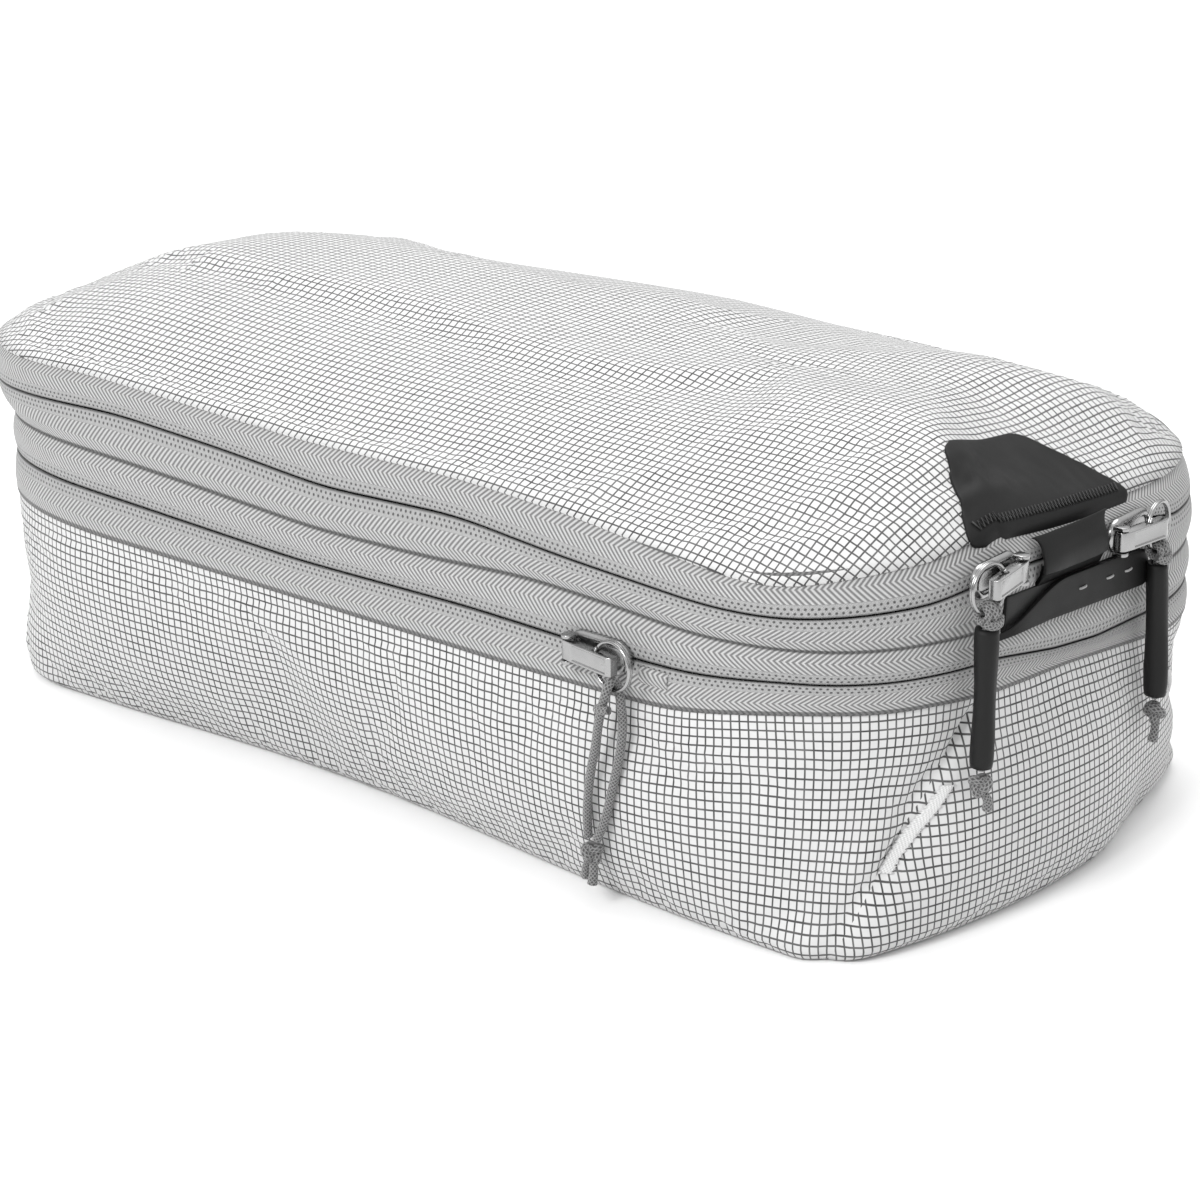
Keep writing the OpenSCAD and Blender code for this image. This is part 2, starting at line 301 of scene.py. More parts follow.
def grey(tone):
    """Neutral colour of one tone."""
    return (tone, tone, tone, 1)


def ripstop_material(name="ripstop", tone=0.52):
    """White ripstop: a fine plain weave with a square grid of dark yarns."""
    n = Nodes(name)
    u, v = n.uv()
    wander = n.noise(38.0, 1.0)
    shift = n.remap(wander, 0.0, 1.0, -0.0004, 0.0004)
    uu = n.math("ADD", u, shift)
    vv = n.math("ADD", v, shift)
    line_w = 0.46 * MM
    warp = n.stripe(uu, GRID, line_w)
    weft = n.stripe(vv, GRID, line_w)
    lines = n.math("MAXIMUM", warp, weft)
    fine_u = n.math("SINE", n.math("MULTIPLY", u, 2 * math.pi / (0.35 * MM)))
    fine_v = n.math("SINE", n.math("MULTIPLY", v, 2 * math.pi / (0.35 * MM)))
    weave = n.math("MULTIPLY", fine_u, fine_v)
    fade = n.remap(n.noise(160.0, 2.0), 0.3, 0.7, 0.85, 1.0)
    dark = n.math("MULTIPLY", lines, fade)
    ground = n.mix(n.noise(14.0, 3.0), grey(tone), grey(0.62))
    color = n.mix(dark, ground, grey(0.03))
    fine = n.bump(weave, 0.00002, 0.35)
    ribs = n.bump(lines, 0.00012, 0.5, under=fine)
    soft = n.bump(n.noise(26.0, 3.0, 0.55), 0.0016, 0.35, under=ribs)
    return n.finish(color, n.remap(lines, 0.0, 1.0, 0.52, 0.7), soft, Sheen_Weight=0.08)


# Width of the plain woven strip beside the coil, in millimetres.
TWILL_EDGE = 3.6


def tape_material(name="zip_tape"):
    """Herringbone twill with two rows of needle holes along the zip edge, and dark lines of painted shade
    at the zip gap and at the outer seam.

    U runs along the tape, V is the distance from the zip edge.
    """
    n = Nodes(name)
    u, v = n.uv()
    rib_pitch = 1.6 * MM
    apex = 4.0 * MM
    edge = TWILL_EDGE * MM
    across = n.math("SUBTRACT", v, edge)
    zig = n.math("PINGPONG", across, apex)
    slant = n.math("ADD", u, zig)
    rib = n.math("PINGPONG", slant, rib_pitch / 2)
    rib = n.remap(rib, rib_pitch * 0.12, rib_pitch * 0.36)
    in_twill = n.remap(v, edge - 0.15 * MM, edge + 0.15 * MM)
    twill = n.math("MULTIPLY", rib, in_twill)
    holes = None
    for row, stagger in ((1.15, 0.0), (2.45, 0.85)):
        du = n.math("PINGPONG", n.math("ADD", u, stagger * MM), 0.85 * MM)
        dv = n.math("SUBTRACT", v, row * MM)
        away = n.math("SQRT", n.math("ADD", n.math("MULTIPLY", du, du), n.math("MULTIPLY", dv, dv)))
        dot = n.remap(away, 0.46 * MM, 0.24 * MM)
        holes = dot if holes is None else n.math("MAXIMUM", holes, dot)
    plain_u = n.math("SINE", n.math("MULTIPLY", u, 2 * math.pi / (0.8 * MM)))
    plain_v = n.math("SINE", n.math("MULTIPLY", v, 2 * math.pi / (0.8 * MM)))
    plain = n.math("MULTIPLY", plain_u, plain_v)
    plain = n.math("MULTIPLY", plain, n.math("SUBTRACT", 1.0, in_twill))
    ground = n.mix(twill, grey(0.15), grey(0.46))
    edge_tone = n.mix(n.noise(900.0, 1.0), grey(0.28), grey(0.36))
    ground = n.mix(in_twill, edge_tone, ground)
    # Painted shade: a dark line along the tape's zip edge, where it meets the slot, and one along its outer
    # seam, where it meets the cloth.
    zip_gap_shade = n.remap(v, 0.5 * MM, 0.1 * MM)
    seam = n.remap(v, 10.5 * MM, 10.95 * MM)
    # Needle holes, plus the painted shade of the two edge lines.
    dark = n.math("MAXIMUM", n.math("MULTIPLY", holes, 0.9), n.math("MULTIPLY", zip_gap_shade, 0.75))
    dark = n.math("MAXIMUM", dark, n.math("MULTIPLY", seam, 0.75))
    color = n.mix(dark, ground, grey(0.035))
    base = n.bump(n.noise(1500.0, 1.0), 0.00003, 0.4)
    height = n.math("SUBTRACT", n.math("ADD", twill, n.math("MULTIPLY", plain, 0.3)), holes)
    normal = n.bump(height, 0.00022, 0.8, under=base)
    return n.finish(color, 0.78, normal, Sheen_Weight=0.15)


def coated_material(name="coated", tone=0.011, shine=0.14):
    """Black coated fabric with a fine pebbled skin."""
    n = Nodes(name)
    fine = n.noise(2600.0, 2.0)
    broad = n.noise(90.0, 3.0)
    color = n.mix(broad, grey(tone * 0.8), grey(tone * 1.5))
    rough = n.remap(broad, 0.3, 0.7, 0.42, 0.58)
    normal = n.bump(fine, 0.00006, 0.6)
    return n.finish(color, rough, normal, Specular_IOR_Level=shine)


def metal_material(name="steel", tone=0.5, rough=0.24):
    """Cast zinc with a satin plated finish."""
    n = Nodes(name)
    smudge = n.noise(240.0, 3.0)
    color = n.mix(smudge, grey(tone * 0.8), grey(tone * 1.15))
    roughness = n.remap(smudge, 0.3, 0.7, rough - 0.06, rough + 0.12)
    normal = n.bump(n.noise(900.0, 2.0), 0.00002, 0.5)
    return n.finish(color, roughness, normal, Metallic=1.0)


def cord_material(name="cord", tone=0.2):
    """Braided cord: two families of yarns that cross. U runs along, V round the cord."""
    n = Nodes(name)
    u, v = n.uv()
    pitch = 1.1 * MM
    plus = n.math("PINGPONG", n.math("ADD", u, v), pitch / 2)
    minus = n.math("PINGPONG", n.math("SUBTRACT", u, v), pitch / 2)
    yarn = n.math("MAXIMUM", n.remap(plus, 0, pitch / 2), n.remap(minus, 0, pitch / 2))
    fuzz = n.noise(3000.0, 2.0)
    shade = n.math("MULTIPLY", n.remap(yarn, 0.45, 1.0), n.remap(fuzz, 0.2, 0.8, 0.6, 1.0))
    color = n.mix(shade, grey(tone * 0.25), grey(tone * 1.6))
    normal = n.bump(n.math("ADD", yarn, n.math("MULTIPLY", fuzz, 0.6)), 0.00025, 0.9)
    return n.finish(color, 0.85, normal, Sheen_Weight=0.3)


def plain_weave_material(name, tone, pitch_mm=0.9):
    """Simple woven cloth or webbing seen along U and V."""
    n = Nodes(name)
    u, v = n.uv()
    wave_u = n.math("SINE", n.math("MULTIPLY", u, 2 * math.pi / (pitch_mm * MM)))
    wave_v = n.math("SINE", n.math("MULTIPLY", v, 2 * math.pi / (pitch_mm * MM)))
    weave = n.remap(n.math("MULTIPLY", wave_u, wave_v), -1.0, 1.0)
    color = n.mix(weave, grey(tone * 0.75), grey(tone * 1.15))
    fuzz = n.bump(n.noise(1800.0, 2.0), 0.00004, 0.5)
    normal = n.bump(weave, 0.00012, 0.7, under=fuzz)
    return n.finish(color, 0.8, normal, Sheen_Weight=0.1)


def thread_material(name="thread", tone=0.03):
    """Twisted sewing thread."""
    n = Nodes(name)
    twist = n.noise(2200.0, 1.0)
    color = n.mix(twist, grey(tone * 0.6), grey(tone * 1.5))
    return n.finish(color, 0.6, n.bump(twist, 0.0001, 0.6))


def floor_material():
    """Pale matt studio floor."""
    n = Nodes("floor")
    return n.finish(grey(0.9), 0.85, n.bump(n.noise(6.0, 2.0), 0.0002, 0.1))


RIPSTOP = ripstop_material()
TAPE = tape_material()
COATED = coated_material()
# Near-black coated cloth for the neck's lower fold: painted shadow where the strap passes under.
SHADOW_BLACK = coated_material("coated_painted_shadow", 0.001, 0.05)
STEEL = metal_material("steel", 0.2)
CHROME = metal_material("bright_steel", 0.34, 0.2)
CORD = cord_material()
WEBBING = plain_weave_material("webbing", 0.05, 1.6)
GUSSET = plain_weave_material("gusset_cloth", 0.62, 0.5)
WHITE_TRIM = plain_weave_material("bar_tack_cloth", 0.6, 0.8)
COIL = coated_material("coil", 0.03)
SLEEVE = coated_material("sleeve", 0.008, 0.2)
THREAD = thread_material()
WHITE_THREAD = thread_material("white_thread", 0.3)


# ---- outlines: closed rings in four zones cut at the corner seams ----

SIDE_CELLS = 118
END_CELLS = 56
ZONE_CELLS = (SIDE_CELLS, END_CELLS, SIDE_CELLS, END_CELLS)
RING = sum(ZONE_CELLS)


def rounded_zone(half_x, half_y, radius, turn, is_end):
    """Dense points of one zone of a rounded rectangle, on the -Y side or the +X end.

    turn is the angle from the end face, at the corner, where the zones meet.
    """
    cx = half_x - radius
    cy = half_y - radius
    points = []
    if is_end:
        for t in np.linspace(-turn, 0, 24):
            points.append((cx + radius * math.cos(t), -cy + radius * math.sin(t)))
        for y in np.linspace(-cy, cy, 48)[1:-1]:
            points.append((half_x, y))
        for t in np.linspace(0, turn, 24):
            points.append((cx + radius * math.cos(t), cy + radius * math.sin(t)))
    else:
        for t in np.linspace(turn, math.pi / 2, 40):
            points.append((-cx - radius * math.cos(t), -cy - radius * math.sin(t)))
        for x in np.linspace(-cx, cx, 90)[1:-1]:
            points.append((x, -half_y))
        for t in np.linspace(math.pi / 2, turn, 40):
            points.append((cx + radius * math.cos(t), -cy - radius * math.sin(t)))
    return np.array(points)


def resample(points, cells):
    """Points at even steps along a line, and their signed distance from its middle."""
    steps = np.linalg.norm(np.diff(points, axis=0), axis=1)
    along = np.concatenate([[0], np.cumsum(steps)])
    want = np.linspace(0, along[-1], cells + 1)
    xy = np.stack([np.interp(want, along, points[:, k]) for k in (0, 1)], axis=1)
    return xy, want - along[-1] / 2


def ring_outline(front, rear, turn, shape=None):
    """Four zones round the plan; front and rear are (half_x, half_y, radius)."""
    near = rounded_zone(*front, turn, False)
    if rear != front:
        back = rounded_zone(*rear, turn, False)
        blend = smooth((near[:, 0:1] / front[0] + 0.6) / 1.2)
        near = near * blend + back * (1 - blend)
    nose = rounded_zone(*front, turn, True)
    tail = -rounded_zone(*rear, turn, True)
    far = np.stack([near[::-1, 0], -near[::-1, 1]], axis=1)
    zones = []
    for points, cells in zip((near, nose, far, tail), ZONE_CELLS):
        if shape is not None:
            points = shape(points)
        zones.append(resample(points, cells))
    return zones


def base_shape(points):
    """Foot of the bag: ends bow out between the corners, long sides draw in a little."""
    x, y = points[:, 0].copy(), points[:, 1].copy()
    end = np.clip((np.abs(x) - 110) / 46, 0, 1) ** 2
    bow = np.where(x > 0, 17.0, 12.0)
    x = x + np.sign(x) * bow * end * np.clip(1 - (y / 88) ** 2, 0, 1)
    side = np.clip((np.abs(y) - 50) / 36, 0, 1)
    y = y - np.sign(y) * side * 8.5 * bump_at(x, -10, 85)
    x = x - 4.5 * smooth((x - 100) / 40) * smooth((y - 5) / 40)
    return np.stack([x, y], axis=1)


def band_shape(points):
    """Waist of the bag: corners a little fuller than a true arc."""
    x, y = points[:, 0].copy(), points[:, 1].copy()
    dx = np.maximum(np.abs(x) - (HALF_L - CORNER_R), 0)
    dy = np.maximum(np.abs(y) - (HALF_W - CORNER_R), 0)
    angle = np.arctan2(dy, dx)
    full = np.where((dx > 0) & (dy > 0), np.sin(2 * angle) ** 2, 0)
    amount = np.where(x < 0, 5.0, np.where(y > 0, 4.2, 2.4))
    grow = full * amount
    x = x + np.sign(x) * grow * np.cos(angle)
    y = y + np.sign(y) * grow * np.sin(angle)
    return np.stack([x, y], axis=1)


SEAM_TURN_TOP = math.radians(9)
SEAM_TURN_FOOT = math.radians(45)
WAIST = ring_outline((HALF_L, HALF_W, CORNER_R), (HALF_L, HALF_W, CORNER_R), SEAM_TURN_TOP, band_shape)
FOOT = ring_outline((158, 91, 14), (159, 87, 30), SEAM_TURN_FOOT, base_shape)


def zone_normals(xy):
    """Outward normals of a zone's points."""
    tangent = np.gradient(xy, axis=0)
    normal = np.stack([tangent[:, 1], -tangent[:, 0]], axis=1)
    return normal / np.linalg.norm(normal, axis=1, keepdims=True)


# The real band isn't level. Each of its five lines has a lift on each side of the bag, given as
# (place along that side, millimetres up).
LINE_HEIGHTS = (SHELL_H, COMP_ZIP, MID_SEAM, MAIN_ZIP, LID_SEAM)
FAR_SAG = ((-150, -11), (-60, -8), (10, -3.5), (60, -4), (95, -7), (145, -10))
FAR_LID_SAG = ((-150, -11), (-60, -8), (10, -3.5), (60, -3), (95, -4.5), (145, -6))
REAR_SAG = ((-50, -1), (0, -3), (50, -7))
LINE_LIFTS = (
    {"near": ((-150, 0), (60, 0.5), (105, 1.5), (135, 6.5), (150, 8)),
     "front": ((-60, 7.5), (-40, 6), (-5, 3), (50, -4)),
     "far": ((-150, -3), (10, -2), (145, -6)),
     "rear": ((-50, 0), (50, -3))},
    {"near": ((-150, 0.3), (-100, 0.8), (-20, -1), (40, 0.5), (87, 0), (110, 0.5), (140, 3.2)),
     "front": ((-60, 3), (-38, 2.3), (-11, -3.5), (10, -6.5), (50, -8)),
     "far": FAR_SAG,
     "rear": REAR_SAG},
    {"near": ((-150, 0.5), (-100, 1.2), (-62, 0), (-14, -2.1), (26, -0.7), (62, 2), (95, 1),
              (110, 0), (140, 0)),
     "front": ((-60, 0), (-40, -0.8), (-17, -3), (7, -5.5), (30, -6.5), (50, -8)),
     "far": FAR_SAG,
     "rear": REAR_SAG},
    {"near": ((-150, 0), (-90, 3), (-47, 1.5), (-10, -0.9), (37, 1.7), (71, -1.1), (109, -2.8),
              (140, -4)),
     "front": ((-62, -0.6), (-40, 1.8), (0, -1.2), (26, -1.6), (50, -7)),
     "far": FAR_SAG,
     "rear": REAR_SAG},
    {"near": ((-150, -1), (-100, 1), (-20, -1), (40, 0.5), (75, -1), (105, -4), (130, -6), (150, -4)),
     "front": ((-60, -2), (-37, 0.8), (-10, -3.2), (20, -6.5), (50, -8)),
     "far": FAR_LID_SAG,
     "rear": REAR_SAG},
)


def line_lift(index, xy, normal):
    """Lift of one line of the band at points with these outward normals."""
    lifts = LINE_LIFTS[index]
    total = 0
    for side, axis, facing in (("near", 0, -normal[:, 1]), ("far", 0, normal[:, 1]),
                               ("front", 1, normal[:, 0]), ("rear", 1, -normal[:, 0])):
        places, heights = zip(*lifts[side])
        fine = np.linspace(places[0], places[-1], 161)
        soft = np.interp(fine, places, heights)
        soft = np.convolve(np.pad(soft, 10, mode="edge"), np.hanning(21) / np.hanning(21).sum(), "valid")
        total = total + np.interp(xy[:, axis], fine, soft) * np.maximum(facing, 0) ** 2
    return total


def lift_at(z, xy, normal):
    """Lift at any height, from the lines above and below it; none at the floor."""
    if z <= LINE_HEIGHTS[0]:
        return line_lift(0, xy, normal) * smooth(max(z, 0) / LINE_HEIGHTS[0])
    upper = min(int(np.searchsorted(LINE_HEIGHTS, z)), len(LINE_HEIGHTS) - 1)
    share = (z - LINE_HEIGHTS[upper - 1]) / (LINE_HEIGHTS[upper] - LINE_HEIGHTS[upper - 1])
    return line_lift(upper - 1, xy, normal) * (1 - share) + line_lift(upper, xy, normal) * share


def zones_to_grid(rows_per_zone):
    """Joins zone grids [row][point] into one ring of vertices and its faces and UVs.

    Each zone gives (points, uvs), arrays of shape rows x (cells + 1) x 3 and x 2.
    """
    rows = rows_per_zone[0][0].shape[0]
    verts = np.zeros((rows, RING, 3))
    faces = []
    uvs = []
    start = 0
    for (points, uv), cells in zip(rows_per_zone, ZONE_CELLS):
        verts[:, start:start + cells] = points[:, :cells]
        for r in range(rows - 1):
            for c in range(cells):
                a = r * RING + start + c
                b = r * RING + (start + c + 1) % RING
                faces.append((a, a + RING, b + RING, b))
                uvs.append((uv[r, c], uv[r + 1, c], uv[r + 1, c + 1], uv[r, c + 1]))
        start += cells
    return verts.reshape(-1, 3), faces, uvs


# ---- lower shell ----

FOOT_ROUND = 5.0
WALL_ROWS = 26
CLOTH_THICK = 0.7


def shell_rows():
    """Heights of the wall rows from the lower tape down to the floor, with their inset."""
    rows = []
    for k in range(WALL_ROWS + 1):
        z = SHELL_H + 0.6 + (FOOT_ROUND - SHELL_H - 0.6) * k / WALL_ROWS
        rows.append((z, 0.0))
    for k in range(1, 6):
        angle = math.radians(90 * k / 5)
        rows.append((FOOT_ROUND * (1 - math.sin(angle)), FOOT_ROUND * (1 - math.cos(angle))))
    return rows


def shell_zone(zone):
    """Wall of one zone: between the waist and foot outlines, puffed and creased."""
    top_xy, top_u = WAIST[zone]
    foot_xy, foot_u = FOOT[zone]
    rows = shell_rows()
    top_normal = zone_normals(top_xy)
    points = np.zeros((len(rows), len(top_xy), 3))
    uv = np.zeros((len(rows), len(top_xy), 2))
    for r, (z, inset) in enumerate(rows):
        w = 1 - z / (SHELL_H + 0.6)
        drawn = top_xy + top_normal * band_push(top_xy, SHELL_H)[:, None]
        xy = drawn * (1 - w) + foot_xy * w
        normal = zone_normals(xy)
        span = np.linspace(-1, 1, len(xy))
        puff = 3.4 * math.sin(math.pi * min(1, max(0, w))) ** 0.8 * (1 - span ** 6)
        if zone in (1, 3):
            puff = puff * 1.2
        crease = shell_crease(zone, top_u * (1 - w) + foot_u * w, z, span)
        xy = xy + normal * (puff + crease - inset)[:, None]
        points[r, :, :2] = xy
        points[r, :, 2] = z + lift_at(z, top_xy, top_normal)
        uv[r, :, 0] = top_u * (1 - w) + foot_u * w
        uv[r, :, 1] = z
    return points, uv


def shell_crease(zone, u, z, span):
    """Soft folds in the wall: long shallow ones, and pulls that fan out from the seams."""
    shallow = 0.8 * ripple(u / 24, z / 17 + 9 * zone, 11 + zone)
    seam = np.exp(-(1 - np.abs(span)) * 9)
    pulls = 0.9 * seam * np.sin(z / 4.2 + 2.2 * span + zone)
    valley = -1.3 * np.exp(-((1 - np.abs(span)) * 26) ** 2)
    fade = smooth(z / 12) * smooth((SHELL_H - z) / 8)
    return (shallow + pulls) * fade + valley * smooth((SHELL_H + 2 - z) / 10)


def floor_cap(verts, faces, uvs):
    """Closes the floor with rings that shrink to the middle."""
    last = len(verts) - RING
    ring = verts[last:]
    added = []
    shrink = (0.8, 0.5, 0.2)
    for share in shrink:
        added.append(np.column_stack([ring[:, 0] * share, ring[:, 1] * share, np.zeros(RING)]))
    all_verts = np.vstack([verts] + added)
    for k in range(len(shrink)):
        row = last + k * RING
        for c in range(RING):
            d = (c + 1) % RING
            quad = (row + c, row + RING + c, row + RING + d, row + d)
            faces.append(quad)
            uvs.append(tuple(all_verts[i, :2] for i in quad))
    tail = last + len(shrink) * RING
    cap = tuple(range(tail + RING - 1, tail - 1, -1))
    faces.append(cap)
    uvs.append(tuple(all_verts[i, :2] for i in cap))
    return all_verts, faces, uvs


def make_shell():
    """Lower tub: four wall zones, a rounded foot and a floor, settled as cloth."""
    verts, faces, uvs = zones_to_grid([shell_zone(z) for z in range(4)])
    verts, faces, uvs = floor_cap(verts, faces, uvs)
    mesh = mesh_from("shell", verts, faces, uvs)
    obj = new_object("shell", mesh, RIPSTOP, "base", ("lower_shell",))
    sewn = [k for k in range(len(verts)) if verts[k][2] > SHELL_H - 6 or verts[k][2] < 2]
    settle_cloth(obj, sewn, 0.006, 1.8)
    add_thickness(obj, CLOTH_THICK)


# ---- zip bands ----


def band_rows(low, high, low_out, high_out, crown):
    """Rows of a half tape from the zip edge: (height, push outward)."""
    rows = []
    for k in range(11):
        t = k / 10
        out = low_out + (high_out - low_out) * t + crown * math.sin(math.pi * t)
        rows.append((low + (high - low) * t, out))
    return rows


def band_push(xy, z):
    """How far the band stands off its outline at a height: it leans in near the lid seam, most at
    the front end, and is drawn in below the main zip at the rear."""
    front = smooth((xy[:, 0] - 110) / 60)
    rear = smooth((-xy[:, 0] - 95) / 60)
    above = max(0.0, (z - MAIN_ZIP) / (LID_SEAM - MAIN_ZIP))
    below = smooth((MAIN_ZIP + 2 - z) / 16)
    return -(1.6 + 2.4 * front) * above ** 1.4 - 4.5 * rear * below


def band_points(zone, z, out):
    """Points of one zone of the band at a height, pushed outward."""
    xy, _ = WAIST[zone]
    normal = zone_normals(xy)
    shifted = xy + normal * (out + band_push(xy, z))[:, None]
    return np.column_stack([shifted, z + lift_at(z, xy, normal)])


def band_zone(zone, rows):
    """Tape points and UVs in one zone."""
    xy, u = WAIST[zone]
    points = np.array([band_points(zone, z, out) for z, out in rows])
    uv = np.zeros((len(rows), len(xy), 2))
    for r, (z, _) in enumerate(rows):
        uv[r, :, 0] = u + zone_offset(zone)
        uv[r, :, 1] = abs(z - rows[0][0])
    return points, uv


def zone_offset(zone):
    """Distance round the ring to the middle of a zone, so the tape's U runs on."""
    lengths = [2 * along[-1] for _, along in WAIST]
    return sum(lengths[:zone]) + lengths[zone] / 2


def make_tape(name, rows, body, node):
    """One half of a zip tape, all the way round."""
    verts, faces, uvs = zones_to_grid([band_zone(z, rows) for z in range(4)])
    if rows[-1][0] > rows[0][0]:
        faces = [tuple(reversed(f)) for f in faces]
        uvs = [tuple(reversed(c)) for c in uvs]
    mesh = mesh_from(name, verts, faces, uvs)
    obj = new_object(name, mesh, TAPE, body, (node,))
    add_thickness(obj, 0.9)


def make_tapes():
    """Both halves of the expansion zip and of the main zip."""
    gap = ZIP_SLOT / 2
    make_tape("tape_comp_lower", band_rows(COMP_ZIP - gap, SHELL_H - 0.8, -0.2, 0.5, 0.5),
              "base", "comp_tape_lower")
    make_tape("tape_comp_upper", band_rows(COMP_ZIP + gap, MID_SEAM, -0.3, -0.7, 1.1),
              "collar", "comp_tape_upper")
    make_tape("tape_main_lower", band_rows(MAIN_ZIP - gap, MID_SEAM, -0.3, -0.7, 1.1),
              "collar", "main_tape_lower")
    make_tape("tape_lid", band_rows(MAIN_ZIP + gap, LID_SEAM + 0.6, -0.2, -0.4, 0.6),
              "lid", "lid_tape")


def make_coil(name, z, side, body, node):
    """Row of coil loops behind a tape edge."""
    path = []
    for zone, cells in enumerate(ZONE_CELLS):
        low = band_points(zone, z + side * 0.1, -2.3)
        high = band_points(zone, z + side * 1.2, -1.4)
        for k in range(cells):
            path.append(low[k])
            path.append((high[k] + high[k + 1]) / 2)
    verts, faces, uvs = sweep(path, 0.45, 6, closed=True)
    new_object(name, mesh_from(name, verts, faces, uvs), COIL, body, (node,))


def make_coils():
    """The four rows of coil beside the two zip slots."""
    make_coil("coil_comp_lower", COMP_ZIP - 0.5, -1, "base", "comp_coil_lower")
    make_coil("coil_comp_upper", COMP_ZIP + 0.5, 1, "collar", "comp_coil_upper")
    make_coil("coil_main_lower", MAIN_ZIP - 0.5, -1, "collar", "main_coil_lower")
    make_coil("coil_lid", MAIN_ZIP + 0.5, 1, "lid", "lid_coil")


# ---- lid ----

LID_RINGS = 34


def lid_edge(zone):
    """Edge of the lid cloth where it's sewn over the tape, with a lobe at each front corner."""
    points = band_points(zone, LID_SEAM, 0.7)
    corner = bump_at(points[:, 0], 140, 16) * smooth((np.abs(points[:, 1]) - 40) / 14)
    points[:, 2] -= 2.0 * corner
    points[:, :2] += zone_normals(points[:, :2]) * (1.1 * corner)[:, None]
    return points


def lid_height(x, y, inset):
    """Rise of the dome above its edge: steep shoulders, broad top, shallow dents."""
    rise = TOP - LID_SEAM + 2.0
    reach = 64 - 18 * smooth((x - 90) / 60)
    t = np.clip(inset / reach, 0, 1)
    dome = rise * (1 - (1 - t) ** 2.1)
    top = smooth(inset / 40)
    dents = 1.2 * ripple(x / 46, y / 38, 5) * top
    folds = 0.5 * ripple(x / 15, y / 15, 8) * smooth(inset / 10)
    sag = -2.5 * bump_at(x, 40, 60) * bump_at(y, 0, 70) - 3.5 * bump_at(x, -110, 60) * smooth(y / 60)
    return dome + dents + folds + sag * top


def lid_unwrap(rings):
    """Flat place of each lid point: from the spine outward by its distance along the cloth."""
    spine = rings[-1][:, :2]
    steps = np.linalg.norm(np.diff(rings[::-1], axis=0), axis=2)
    along = np.vstack([np.zeros(len(spine)), np.cumsum(steps, axis=0)])[::-1]
    outward = rings[0][:, :2] - spine
    outward = outward / np.linalg.norm(outward, axis=1, keepdims=True)
    return spine + outward * along[:, :, None]


def make_lid():
    """Domed lid: rings from the sewn edge up to a spine, settled as cloth."""
    edge = np.vstack([lid_edge(z)[:-1] for z in range(4)])
    spine_x = np.clip(edge[:, 0], -(HALF_L - HALF_W), HALF_L - HALF_W)
    far = SIDE_CELLS + END_CELLS
    spine_x[far:far + SIDE_CELLS + 1] = spine_x[SIDE_CELLS::-1]
    verts = []
    for k in range(LID_RINGS + 1):
        t = k / LID_RINGS
        x = edge[:, 0] * (1 - t) + spine_x * t
        y = edge[:, 1] * (1 - t)
        inset = np.hypot(edge[:, 0] - x, edge[:, 1] - y)
        share = smooth(inset / 70)
        base = edge[:, 2] * (1 - share) + (LID_SEAM - 2.5 - 0.02 * y) * share
        verts.append(np.column_stack([x, y, base + lid_height(x, y, inset)]))
    verts = np.vstack(verts)
    faces = []
    for k in range(LID_RINGS):
        for c in range(RING):
            d = (c + 1) % RING
            faces.append((k * RING + c, k * RING + d, (k + 1) * RING + d, (k + 1) * RING + c))
    flat = lid_unwrap(verts.reshape(LID_RINGS + 1, -1, 3)).reshape(-1, 2)
    uvs = [tuple(flat[i] for i in f) for f in faces]
    mesh = mesh_from("lid_cloth", verts, faces, uvs)
    bm = bmesh.new()
    bm.from_mesh(mesh)
    bmesh.ops.remove_doubles(bm, verts=bm.verts, dist=0.02 * MM)
    bm.to_mesh(mesh)
    bm.free()
    obj = new_object("lid_cloth", mesh, RIPSTOP, "lid", ("lid_panel",))
    settle_cloth(obj, list(range(2 * RING)), 0.008, 2.6)
    add_thickness(obj, CLOTH_THICK)


# ---- hard pieces and cords ----

# Slider cover, and the puller's post in the slider's own frame.
SLIDER_L = 20.0
SLIDER_H = 9.6
SLIDER_BASE = 0.3
POST = (4.4, 8.2)
LIFT = math.radians(8)
EYE_REACH = 10.2
PULLER_H = 5.2
RING_R = 6.35
# Where things sit: the tabs' middle, the main sliders' middle, how far each main pull is below
# the level zip line and leans out over the wall, and the expansion slider.
FRONT_Y = -8.0
PULL_Y = -11.5
PULL_DROP = {"left": -3.2, "right": 3.0}
LEAN = {"left": 0.0, "right": 0.045}
COMP_X = 87.0
RING_TURN = {"left": math.radians(14), "right": math.radians(14), "comp": 0.0}
CORD_D = 2.4

# Cord routes, as in the CAD source, from the foot of each ring.
MAIN_ROUTE = [
    (0, 0, -42), (0, 0, -35), (0, 0, -29), (0, 0, -23), (0, 0, -17), (0, 0, -11), (0, 0, -6),
    (0.1, 0, -4), (1.1, 0, -2), (2, 0, -0.2), (1.7, 0, 1.2), (0.8, 0, 2), (-0.4, 0, 2.1),
    (-1.5, 0, 1.4), (-2, 0, 0), (-2, 0, -1.4)]
COMP_ROUTE = [
    (-0.6, 6.4, -44), (-1.4, 4.2, -38), (-1.9, 2.6, -31), (-2.2, 1, -24), (-2.3, -0.6, -17),
    (-2.3, -1.4, -10), (-2.2, -1, -5), (-2.1, -0.4, -1.5), (-1.9, 0, 0.4), (-1.1, 0, 1.7),
    (0, 0, 2.1), (1.1, 0, 1.7), (1.9, 0, 0.4), (2.2, 0.4, -1.5), (2.2, 1.6, -5),
    (1.8, 3.2, -10), (1.2, 5, -17), (0.8, 7, -24), (0.3, 8.6, -31), (-0.2, 9.6, -38),
    (-0.6, 9.6, -44)]


def turn_z(points, angle):
    """Turns points about the Z axis."""
    c, s = math.cos(angle), math.sin(angle)
    x, y = points[:, 0] * c - points[:, 1] * s, points[:, 0] * s + points[:, 1] * c
    return np.column_stack([x, y, points[:, 2]])


